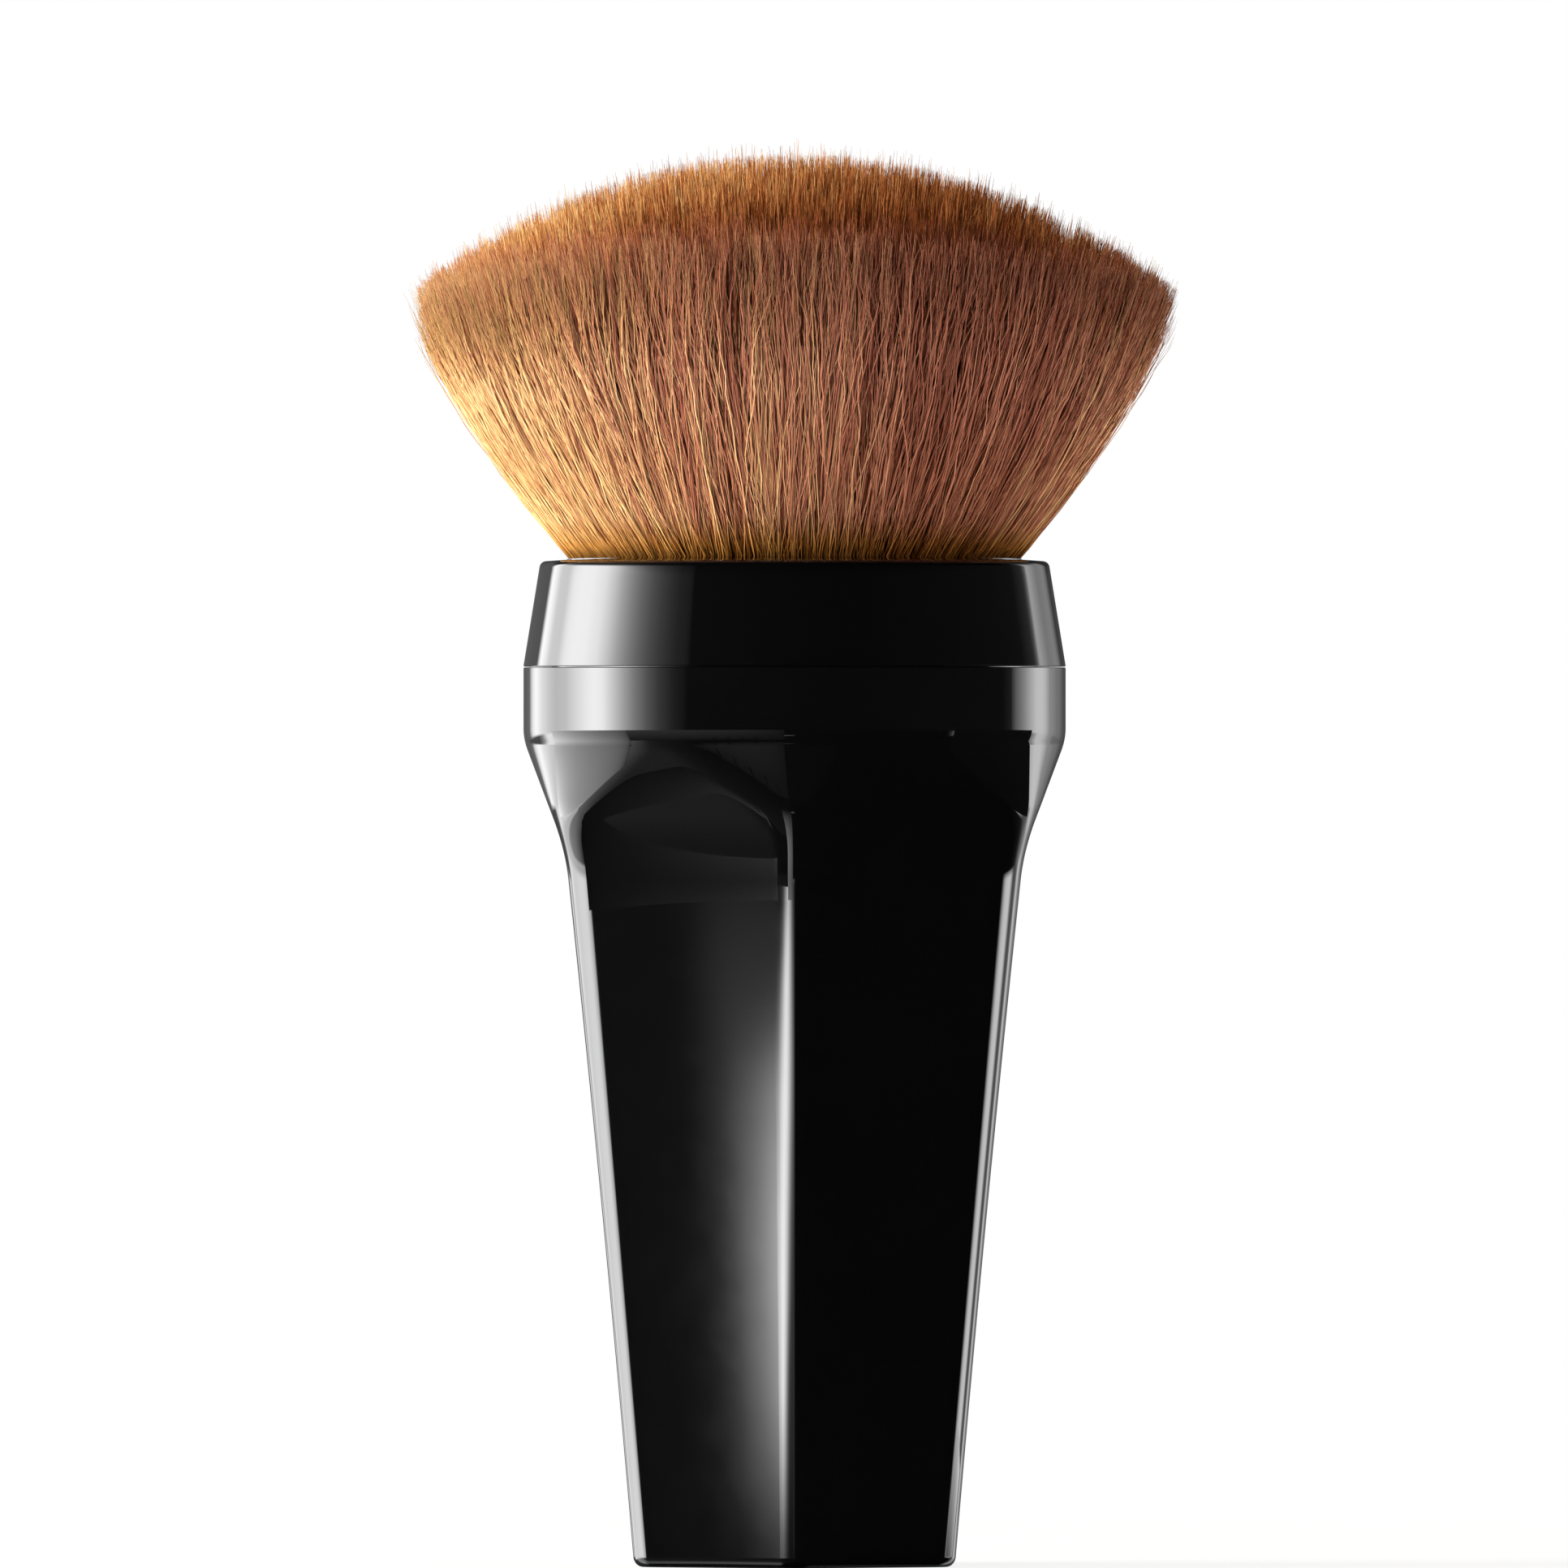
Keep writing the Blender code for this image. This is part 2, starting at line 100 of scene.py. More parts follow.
@dataclass
class Term:
    """One output of a node. Python's operators on it add the nodes that work them out."""

    graph: "Graph"
    node: bpy.types.Node
    output: str | int = 0

    @property
    def socket(self) -> bpy.types.NodeSocket:
        """The output's socket."""
        return live_socket(self.node.outputs, self.output)

    @property
    def wide(self) -> bool:
        """Whether it is a vector or a colour."""
        return self.socket.type in {"VECTOR", "RGBA"}

    def of(self, output: str) -> "Term":
        """Another output of the same node."""
        return Term(self.graph, self.node, output)

    def __neg__(self) -> "Term":
        """The same with its sign turned."""
        return 0.0 - self

    __add__, __radd__ = operator("ADD"), operator("ADD", True)
    __sub__, __rsub__ = operator("SUBTRACT"), operator("SUBTRACT", True)
    __mul__, __rmul__ = operator("MULTIPLY"), operator("MULTIPLY", True)
    __truediv__, __rtruediv__ = operator("DIVIDE"), operator("DIVIDE", True)
    __pow__, __rpow__ = operator("POWER"), operator("POWER", True)
    __lt__, __gt__ = operator("LESS_THAN"), operator("GREATER_THAN")


Value = Term | float | tuple[float, ...]
Triple = tuple[float, float, float]
Colour = Triple
Stops = tuple[tuple[float, float | Colour], ...]


class Graph:
    """A shader or geometry tree that is written as Python expressions."""

    def __init__(self, tree: bpy.types.NodeTree) -> None:
        """Takes the tree to write in."""
        self.tree = tree

    def feed(self, socket: bpy.types.NodeSocket, value: object) -> None:
        """Links a term to a socket, or sets the socket.

        Args:
            socket: The input socket.
            value: A term, a number, a tuple, a string or a data block.
        """
        if isinstance(value, Term):
            self.tree.links.new(value.socket, socket)
        elif socket.type == "RGBA" and isinstance(value, tuple) and len(value) == 3:
            socket.default_value = (*value, 1.0)
        elif socket.type in {"VECTOR", "RGBA"} and isinstance(value, (int, float)):
            socket.default_value = [value] * len(socket.default_value)
        else:
            socket.default_value = value

    def add(
        self,
        kind: str,
        inputs: dict[str | int, object] | None = None,
        settings: dict[str, object] | None = None,
        output: str | int = 0,
    ) -> Term:
        """Adds any node: its settings first, then its sockets.

        Args:
            kind: The node's type.
            inputs: Values or terms for its sockets, by name or number.
            settings: Its settings. "stops" fills a colour ramp.
            output: The output that the returned term stands for.

        Returns:
            The term.
        """
        node = self.tree.nodes.new(kind)
        for name, value in (settings or {}).items():
            if name == "stops":
                self._fill_ramp(node.color_ramp, value)
            else:
                setattr(node, name, value)
        for key, value in (inputs or {}).items():
            self.feed(live_socket(node.inputs, key), value)
        return Term(self, node, output)

    @staticmethod
    def _fill_ramp(ramp: bpy.types.ColorRamp, stops: Stops) -> None:
        """Gives a colour ramp its stops.

        Args:
            ramp: The ramp.
            stops: Places from 0 to 1, each with a grey or a colour.
        """
        while len(ramp.elements) < len(stops):
            ramp.elements.new(1.0)
        for element, (place, shade) in zip(ramp.elements, stops):
            element.position = place
            element.color = (*(shade if isinstance(shade, tuple) else [shade] * 3), 1.0)

    def maths(self, operation: str, first: Value, second: Value = 0.0) -> Term:
        """Works out numbers with a Math node, and vectors or colours with Vector Math.

        Args:
            operation: The operation's name in Blender.
            first: The first operand.
            second: The second operand, if the operation has one.

        Returns:
            The result.
        """
        operands = (first, second)
        wide = any(isinstance(x, tuple) or isinstance(x, Term) and x.wide for x in operands)
        node = self.tree.nodes.new("ShaderNodeVectorMath" if wide else "ShaderNodeMath")
        node.operation = operation
        for socket, value in zip([s for s in node.inputs if s.enabled], operands):
            self.feed(socket, value)
        return Term(self, node)

    def mix(self, share: Value, first: Value, second: Value) -> Term:
        """The colour at a share of the way from the first colour to the second."""
        return self.add("ShaderNodeMix", {"Factor": share, "A": first, "B": second}, {"data_type": "RGBA"})

    def ramp(self, place: Value, stops: Stops) -> Term:
        """A colour ramp read at a place from 0 to 1."""
        return self.add("ShaderNodeValToRGB", {"Fac": place}, {"stops": stops})

    def noise(self, where: Value, scale: float, detail: float) -> Term:
        """Soft noise from 0 to 1, of so many blobs to a unit and so many octaves."""
        return self.add("ShaderNodeTexNoise", {"Vector": where, "Scale": scale, "Detail": detail})

    def share_of(self, value: Value, low: Value, high: Value, smooth: bool = False) -> Term:
        """How far a value has come from low to high, held between 0 and 1, and eased if smooth."""
        settings = {"interpolation_type": "SMOOTHSTEP" if smooth else "LINEAR"}
        return self.add("ShaderNodeMapRange", {"Value": value, "From Min": low, "From Max": high}, settings)

    def split(self, vector: Value) -> tuple[Term, Term, Term]:
        """The three parts of a vector."""
        parts = self.add("ShaderNodeSeparateXYZ", {0: vector})
        return parts, parts.of("Y"), parts.of("Z")

    def join(self, x: Value, y: Value, z: Value) -> Term:
        """A vector from three numbers."""
        return self.add("ShaderNodeCombineXYZ", {"X": x, "Y": y, "Z": z})

    def smooth_max(self, first: Value, second: Value, blend: Value) -> Term:
        """The larger of two, rounded over where they come within the blend of each other."""
        near = self.maths("MAXIMUM", blend - self.maths("ABSOLUTE", first - second), 0.0) / blend
        return self.maths("MAXIMUM", first, second) + near * near * blend / 4.0

    def smooth_min(self, first: Value, second: Value, blend: Value) -> Term:
        """The smaller of two, rounded over in the same way."""
        return -self.smooth_max(-first, -second, blend)


def mix(start: Value, end: Value, share: Value) -> Value:
    """The value at a share of the way from start to end."""
    return start + (end - start) * share


def steps(start: float, end: float, count: int) -> list[float]:
    """Evenly spaced values from start to end, both included."""
    return [mix(start, end, i / count) for i in range(count + 1)]


def put(name: str, data: bpy.types.ID) -> bpy.types.Object:
    """Makes an object of a mesh, a lamp or a camera and puts it in the scene.

    Args:
        name: The object's name.
        data: What it shows.

    Returns:
        The object, at the origin.
    """
    made = bpy.data.objects.new(name, data)
    bpy.context.scene.collection.objects.link(made)
    return made


def sheet_of(name: str, rows: list[list[Iterable[float]]]) -> bpy.types.Mesh:
    """A mesh of four-sided faces between rows of points.

    Args:
        name: Its name.
        rows: The rows, each with as many points.

    Returns:
        The mesh.
    """
    wide = len(rows[0])
    starts = [row * wide + i for row in range(len(rows) - 1) for i in range(wide - 1)]
    made = bpy.data.meshes.new(name)
    made.from_pydata(sum(rows, []), [], [(i, i + 1, wide + i + 1, wide + i) for i in starts])
    return made


# Finishes


class Paint(Graph):
    """A new material's graph."""

    def __init__(self, name: str) -> None:
        """Makes the material.

        Args:
            name: Its name.
        """
        self.made = bpy.data.materials.new(name)
        self.made.use_nodes = True
        super().__init__(self.made.node_tree)

    def place(self, stretch: Triple = (1.0, 1.0, 1.0)) -> Term:
        """The Object coordinates, stretched."""
        place = self.add("ShaderNodeTexCoord", output="Object")
        return self.add("ShaderNodeMapping", {"Vector": place, "Scale": stretch})

    def bump(self, strength: float, depth: float, height: Term) -> Term:
        """A bump of the surface by a height from 0 to 1."""
        return self.add("ShaderNodeBump", {"Strength": strength, "Distance": depth, "Height": height})

    def emission(self, strength: Value) -> Term:
        """White light of a strength."""
        return self.add("ShaderNodeEmission", {"Color": (1.0, 1.0, 1.0), "Strength": strength})

    def finish(self, looks: dict[str, Value], node: str = "Principled BSDF") -> bpy.types.Material:
        """Feeds the shader, or the material's output.

        Args:
            looks: What its sockets get, by name.
            node: Its name.

        Returns:
            The material.
        """
        for name, value in looks.items():
            self.feed(self.tree.nodes[node].inputs[name], value)
        return self.made


@dataclass(frozen=True)
class GlossPlastic:
    """Polished black moulding, with a faint ripple and the lightest handling marks."""

    name: str
    deep: Colour = (0.0006, 0.0006, 0.0008)
    pale: Colour = (0.0014, 0.0015, 0.0019)
    roughness: float = 0.02
    haze: float = 0.02
    ripple_depth: float = 0.0012 * MM
    cloud_grain: float = 90.0
    haze_grain: float = 420.0
    ripple_grain: float = 160.0

    def make(self) -> bpy.types.Material:
        """Builds the material.

        Returns:
            The material.
        """
        paint = Paint(self.name)
        place = paint.place()
        haze = paint.noise(place, self.haze_grain, 4.0)
        looks = {
            "Base Color": paint.mix(paint.noise(place, self.cloud_grain, 3.0), self.deep, self.pale),
            "Roughness": self.roughness + haze * haze * self.haze,
            "Normal": paint.bump(0.4, self.ripple_depth, paint.noise(place, self.ripple_grain, 1.0)),
        }
        return paint.finish(looks)


@dataclass(frozen=True)
class DrawnMetal:
    """Metal with fine lines round the piece, as drawing or turning leaves them."""

    name: str
    dark: Colour
    light: Colour
    roughness: float
    lines: float = 9000.0

    def make(self) -> bpy.types.Material:
        """Builds the material.

        Returns:
            The material.
        """
        paint = Paint(self.name)
        lines = paint.noise(paint.place((0.02, 0.02, 1.0)), self.lines, 3.0)
        stain = paint.noise(paint.place(), 260.0, 3.0)
        looks = {
            "Base Color": paint.mix(lines, self.dark, self.light),
            "Roughness": self.roughness + 0.14 * (stain - 0.5) + 0.1 * (lines - 0.5),
            "Normal": paint.bump(0.25, 0.01 * MM, lines),
            "Metallic": 1.0,
        }
        return paint.finish(looks)


@dataclass(frozen=True)
class Speckled:
    """A matt or waxy surface with a grain in its colour and height."""

    name: str
    dark: Colour
    light: Colour
    roughness: float
    grain: float
    depth: float
    stretch: Triple = (1.0, 1.0, 1.0)

    def make(self) -> bpy.types.Material:
        """Builds the material.

        Returns:
            The material.
        """
        paint = Paint(self.name)
        grain = paint.noise(paint.place(self.stretch), self.grain, 4.0)
        blotch = paint.noise(paint.place(), self.grain / 6.0, 2.0)
        looks = {
            "Base Color": paint.mix((grain + blotch) * 0.5, self.dark, self.light),
            "Roughness": self.roughness + 0.15 * (grain - 0.5),
            "Normal": paint.bump(0.5, self.depth, grain),
        }
        return paint.finish(looks)


@dataclass(frozen=True)
class BristleFinish:
    """Fine dyed filament: golden brown at the root, rosy above it, each strand its own tone.

    The strands' own map carries the pattern: across it lies a strand's tone, from deep brown
    through auburn and rose to gold. Up it lies the share of the way from root to tip, up to 0.8
    for the long strands and from 0.82 on for the crown's tips, which are redder. The mauve
    mid-lengths and the rose tone are partly painted sheen, as the strands have almost no gloss.
    """

    name: str
    deep: Stops = (
        (0.0, (0.016, 0.005, 0.0004)), (0.06, (0.022, 0.007, 0.001)), (0.13, (0.050, 0.014, 0.006)),
        (0.80, (0.060, 0.016, 0.008)), (0.82, (0.025, 0.006, 0.002)), (0.93, (0.035, 0.008, 0.002)),
        (1.0, (0.060, 0.014, 0.003)),
    )
    auburn: Stops = (
        (0.0, (0.100, 0.032, 0.003)), (0.06, (0.150, 0.045, 0.010)), (0.13, (0.230, 0.070, 0.038)),
        (0.50, (0.240, 0.072, 0.046)), (0.80, (0.290, 0.088, 0.054)), (0.82, (0.100, 0.024, 0.008)),
        (0.93, (0.150, 0.032, 0.012)), (1.0, (0.240, 0.064, 0.014)),
    )
    rose: Stops = (
        (0.0, (0.260, 0.100, 0.015)), (0.06, (0.360, 0.140, 0.030)), (0.13, (0.480, 0.190, 0.115)),
        (0.50, (0.480, 0.190, 0.125)), (0.80, (0.420, 0.180, 0.110)), (0.82, (0.200, 0.060, 0.030)),
        (0.93, (0.280, 0.090, 0.040)), (1.0, (0.420, 0.170, 0.055)),
    )
    gold: Stops = (
        (0.0, (0.480, 0.220, 0.040)), (0.06, (0.660, 0.340, 0.100)), (0.13, (0.800, 0.520, 0.250)),
        (0.31, (0.760, 0.490, 0.240)), (0.50, (0.820, 0.560, 0.300)), (0.61, (0.620, 0.380, 0.180)),
        (0.71, (0.370, 0.220, 0.085)), (0.80, (0.360, 0.220, 0.100)), (0.93, (0.380, 0.200, 0.080)),
        (1.0, (0.560, 0.360, 0.150)),
    )
    tones: tuple[float, float] = (0.38, 0.68)  # where auburn and rose are full
    # Almost no real gloss: the strands' sheen is painted into their colours.
    gloss: float = 0.03
    roughness: float = 0.42

    def make(self) -> bpy.types.Material:
        """Builds the material.

        Returns:
            The material.
        """
        paint = Paint(self.name)
        tone, share, _ = paint.split(paint.add("ShaderNodeUVMap", None, {"uv_map": STRAND_MAP}))
        shade = paint.ramp(share, self.deep)
        edges = (0.0, *self.tones, 1.0)
        for start, end, stops in zip(edges, edges[1:], (self.auburn, self.rose, self.gold)):
            shade = paint.mix(paint.share_of(tone, start, end), shade, paint.ramp(share, stops))
        roughness = self.roughness + 0.1 * (0.5 - tone)
        return paint.finish({"Base Color": shade, "Roughness": roughness, "Specular IOR Level": self.gloss})


@dataclass(frozen=True)
class TuftShade:
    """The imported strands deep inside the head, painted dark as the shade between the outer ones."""

    name: str
    dark: Colour = (0.035, 0.011, 0.004)
    light: Colour = (0.13, 0.048, 0.018)

    def make(self) -> bpy.types.Material:
        """Builds the material.

        Returns:
            The material.
        """
        paint = Paint(self.name)
        streak = paint.noise(paint.place((1.0, 1.0, 0.04)), 5200.0, 3.0)
        looks = {
            "Base Color": paint.mix(streak, self.dark, self.light),
            "Roughness": 0.75 + 0.2 * (streak - 0.5),
            "Normal": paint.bump(0.8, 0.1 * MM, streak),
        }
        return paint.finish(looks)


# Pieces


class Slot(Enum):
    """The record's material slots of the pieces that are made here."""

    HANDLE = "handle_black"
    COLLAR = "collar_black"
    BRISTLE = "bristle_brown"


@dataclass(frozen=True)
class Station:
    """One ring of a shell, before it is rolled round the axis.

    Attributes:
        height: Its height above the base.
        inset: How far it lies inside the shell's outline.
        hold: How much of the outline it keeps, from 0 (round) to 1.
        bore: The radius that is added to what it keeps.
    """

    height: float
    inset: float = 0.0
    hold: float = 1.0
    bore: float = 0.0


class Recipe(Graph):
    """A Geometry Nodes tree with named inputs, run once and kept as a plain mesh."""

    def __init__(self, name: str, sizes: Iterable[str], counts: Iterable[str] = ()) -> None:
        """Makes the tree with its inputs.

        Args:
            name: The tree's name.
            sizes: The names of its sizes.
            counts: The names of its whole numbers.
        """
        super().__init__(bpy.data.node_groups.new(name, "GeometryNodeTree"))
        face = self.tree.interface
        for way in ("INPUT", "OUTPUT"):
            face.new_socket("Geometry", in_out=way, socket_type="NodeSocketGeometry")
        self.source = self.tree.nodes.new("NodeGroupInput")
        self.result = self.tree.nodes.new("NodeGroupOutput")
        for kind, names in (("Float", sizes), ("Int", counts)):
            for size in names:
                face.new_socket(size, in_out="INPUT", socket_type="NodeSocket" + kind)
        self.mesh = Term(self, self.source, "Geometry")
        self.size = {name: Term(self, self.source, name) for name in (*sizes, *counts)}

    def attribute(self, name: str) -> Term:
        """Reads a named number."""
        return self.add("GeometryNodeInputNamedAttribute", {"Name": name}, {"data_type": "FLOAT"})

    def store(self, geometry: Term, name: str, value: Value, **settings: str) -> Term:
        """Stores a named attribute, a number unless the settings say otherwise."""
        inputs = {"Geometry": geometry, "Name": name, "Value": value}
        return self.add("GeometryNodeStoreNamedAttribute", inputs, {"data_type": "FLOAT"} | settings)

    def chance(self, low: float, high: float, salt: int) -> Term:
        """A random number between two, with a salt that sets its draw apart from the others."""
        inputs = {"Min": low, "Max": high, "Seed": self.size["seed"] + float(salt)}
        return self.add("FunctionNodeRandomValue", inputs, {"data_type": "FLOAT"})

    def place(self, geometry: Term, position: Value) -> Term:
        """Sets the points' positions."""
        return self.add("GeometryNodeSetPosition", {"Geometry": geometry, "Position": position})

    def roll(self, position: Term, material: bpy.types.Material) -> None:
        """Rolls the flat sheet up, welds its seam and ends the tree.

        Args:
            position: Where the sheet's points go.
            material: The material.
        """
        rolled = self.place(self.mesh, position)
        self.close(self.add("GeometryNodeMergeByDistance", {"Geometry": rolled, "Distance": WELD}), material)

    def close(self, geometry: Term, material: bpy.types.Material) -> None:
        """Ends the tree: smooth faces, instances made real and the material.

        Args:
            geometry: The geometry.
            material: The material.
        """
        smooth = self.add("GeometryNodeSetShadeSmooth", {0: geometry, "Shade Smooth": True})
        real = self.add("GeometryNodeRealizeInstances", {"Geometry": smooth})
        dressed = self.add("GeometryNodeSetMaterial", {"Geometry": real, "Material": material})
        self.feed(self.result.inputs["Geometry"], dressed)

    def run(self, name: str, mesh: bpy.types.Mesh, sizes: dict[str, float], slot: Slot, node: str) -> None:
        """Runs the tree and hands what it makes to the frame, as a plain mesh at the origin.

        Args:
            name: The new piece's name.
            mesh: The mesh that the tree starts from.
            sizes: The named inputs' values.
            slot: Not used.
            node: The CAD node that it stands for.
        """
        maker = put(name + "_maker", mesh)
        modifier = maker.modifiers.new(name, "NODES")
        modifier.node_group = self.tree
        for item in self.tree.interface.items_tree:
            if item.in_out == "INPUT" and item.name in sizes:
                modifier[item.identifier] = sizes[item.name]
        evaluated = maker.evaluated_get(bpy.context.evaluated_depsgraph_get())
        made = bpy.data.meshes.new_from_object(evaluated)
        maker.modifiers.remove(modifier)
        bpy.data.objects.remove(maker)
        for spent in [a.name for a in made.attributes if a.domain == "POINT" and a.data_type == "FLOAT"]:
            made.attributes.remove(made.attributes[spent])
        # Only the shells grow from the mesh that they are given, and only they have sharp edges.
        if self.mesh.socket.is_linked:
            made.set_sharp_from_angle(angle=SMOOTH_ANGLE)
        piece = put(name, made)
        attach(piece, BODY)
        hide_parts(node)
        made.calc_loop_triangles()
        log.info("%s: %d triangles", name, len(made.loop_triangles))


def unrolled(name: str, stations: list[Station], turns: list[float]) -> bpy.types.Mesh:
    """A flat sheet of rings, with the turn along X, the inset along Y and the height along Z.

    Args:
        name: The mesh's name.
        stations: The rings, in order along the shell's section.
        turns: The turns round the axis, with a full turn between the first and the last.

    Returns:
        The mesh, with the attributes "hold" and "bore".
    """
    made = sheet_of(name, [[(turn, s.inset, s.height) for turn in turns] for s in stations])
    for key in ("hold", "bore"):
        numbers = [getattr(s, key) for s in stations for _ in turns]
        made.attributes.new(key, "FLOAT", "POINT").data.foreach_set("value", numbers)
    return made


def rounded(before: tuple, corner: tuple, after: tuple, radius: float, count: int) -> list[tuple]:
    """Points of an arc in place of a profile's corner.

    Args:
        before: The profile's point before the corner, as radius and height.
        corner: The corner.
        after: The point after it.
        radius: The arc's radius.
        count: The arc's straight runs.

    Returns:
        The arc's points.
    """
    before, corner, after = Vector(before), Vector(corner), Vector(after)
    back, onward = (before - corner).normalized(), (after - corner).normalized()
    half_angle = back.angle(onward) / 2
    centre = corner + (back + onward).normalized() * radius / math.sin(half_angle)
    start = corner + back * radius / math.tan(half_angle) - centre
    end = corner + onward * radius / math.tan(half_angle) - centre
    arc = [start.slerp(end, i / count) for i in range(count + 1)]
    return [tuple(centre + way * radius) for way in arc]


# Handle and collar


SIDES = 6
HALF_FACET = math.pi / SIDES


@dataclass
class Handle:
    """The tapering handle: six facets that run out into a round band at the top."""

    taper_height: float = 58.5 * MM
    base_half_flats: float = 11.34 * MM
    top_half_flats: float = 17.06 * MM
    facet_bow: float = 0.2 * MM
    base_corner_radius: float = 1.9 * MM
    top_corner_radius: float = 3.5 * MM
    facet_end_radius: float = 19.05 * MM
    corner_blend: float = 5.0 * MM
    band_radius: float = 19.2 * MM
    shoulder_slope: float = math.radians(21.0)
    shoulder_blend: float = 0.6 * MM
    band_blend: float = 0.3 * MM
    band_height: float = 5.15 * MM
    base_edge_radius: float = 0.7 * MM
    shoulder_foot: float = 47.0 * MM
    shoulder_top: float = 59.6 * MM
    parting_gap: float = 0.05 * MM
    parting_chamfer: float = 0.06 * MM
    socket_radius: float = 17.5 * MM
    socket_depth: float = 3.6 * MM
    pocket_radius: float = 16.4 * MM
    pocket_foot: float = 56.0 * MM
    ledge_radius: float = 15.5 * MM
    hollow_top: float = 50.0 * MM
    wall: float = 2.2 * MM
    floor: float = 2.5 * MM
    finish: GlossPlastic = GlossPlastic("handle_gloss_black")

    def sizes(self) -> dict[str, float]:
        """The first twelve sizes, which the rule of the shape reads."""
        return {f.name: getattr(self, f.name) for f in fields(self)[:12]}

    def turns(self) -> list[float]:
        """Turns round the axis, closest together at the six corners.

        Returns:
            The turns, with the first one again at the end.
        """
        half = [*steps(0.0, 0.80, 14)[:-1], *steps(0.80, 1.0, 14)]
        shares = [-share for share in reversed(half[1:-1])] + half
        marks = [(2 * side + share) * HALF_FACET for side in range(SIDES) for share in shares]
        return [*marks, marks[0] + 2 * math.pi]

    def stations(self) -> list[Station]:
        """Rings from the middle of the base up the skin and down the hollow.

        Returns:
            The rings in order.
        """
        edge = self.base_edge_radius
        rings = [Station(0.0, edge, hold) for hold in (0.0, 0.5, 0.9)]
        for angle in steps(0.0, math.pi / 2, 10)[:-1]:
            rings.append(Station(edge * (1 - math.cos(angle)), edge * (1 - math.sin(angle))))
        band_top = self.taper_height + self.band_height
        top, socket_foot = band_top - self.parting_gap, band_top - self.socket_depth
        # A ring just above the rounded edge keeps the edge's bend out of the facets' shading.
        heights = [edge, *steps(edge + 0.04 * MM, self.shoulder_foot, 36)[:-1]]
        heights += steps(self.shoulder_foot, self.shoulder_top, 72)[:-1]
        heights += steps(self.shoulder_top, top - self.parting_chamfer, 8)
        rings += [Station(height) for height in heights]
        rings.append(Station(top, self.parting_chamfer))
        for radius, height in (
            (self.socket_radius, top),
            (self.socket_radius, socket_foot),
            (self.pocket_radius, socket_foot),
            (self.pocket_radius, self.pocket_foot),
            (self.ledge_radius, self.pocket_foot),
        ):
            rings.append(Station(height, 0.0, 0.0, radius))
        rings += [Station(height, self.wall) for height in steps(self.hollow_top, self.floor, 8)]
        return rings + [Station(self.floor, self.wall, hold) for hold in (0.5, 0.0)]

    def build(self) -> None:
        """Builds and seats the handle. Its tree is the rule of its shape and rolls a flat sheet up."""
        recipe = Recipe("handle_roll", self.sizes())
        size, maths = recipe.size, recipe.maths
        turn, inset, height = recipe.split(recipe.add("GeometryNodeInputPosition"))
        share = height / size["taper_height"]
        bow = 4.0 * size["facet_bow"] * share * (1.0 - share)
        hexagon = mix(size["base_half_flats"], size["top_half_flats"], share) - bow
        drop = (size["taper_height"] - height) * maths("TANGENT", size["shoulder_slope"])
        swelling = recipe.smooth_max(hexagon, size["band_radius"] - drop, size["shoulder_blend"])
        flats = recipe.smooth_min(swelling, size["band_radius"], size["band_blend"])

        # The corners are rounded off more and more where they would stand out past the band.
        plain = mix(size["base_corner_radius"], size["top_corner_radius"], share * share)
        least = (flats / math.cos(HALF_FACET) - size["facet_end_radius"]) / (1 / math.cos(HALF_FACET) - 1)
        corner = maths("MINIMUM", recipe.smooth_max(plain, least, size["corner_blend"]), flats)
        around = maths("FLOORED_MODULO", turn + HALF_FACET, 2 * HALF_FACET)
        off_middle = maths("ABSOLUTE", around - HALF_FACET)
        on_flat = flats * maths("TANGENT", off_middle) < (flats - corner) * math.tan(HALF_FACET)
        centre = (flats - corner) / math.cos(HALF_FACET)
        off_corner = HALF_FACET - off_middle
        across = centre * maths("SINE", off_corner)
        rise = maths("SQRT", maths("MAXIMUM", corner * corner - across * across, 0.0))
        skin = mix(centre * maths("COSINE", off_corner) + rise, flats / maths("COSINE", off_middle), on_flat)
        reach = (skin - inset) * recipe.attribute("hold") + recipe.attribute("bore")
        x, y = reach * maths("COSINE", turn), reach * maths("SINE", turn)
        recipe.roll(recipe.join(x, y, height), self.finish.make())
        sheet = unrolled("handle_sheet", self.stations(), self.turns())
        recipe.run("handle_body", sheet, self.sizes(), Slot.HANDLE, "handle_shell")


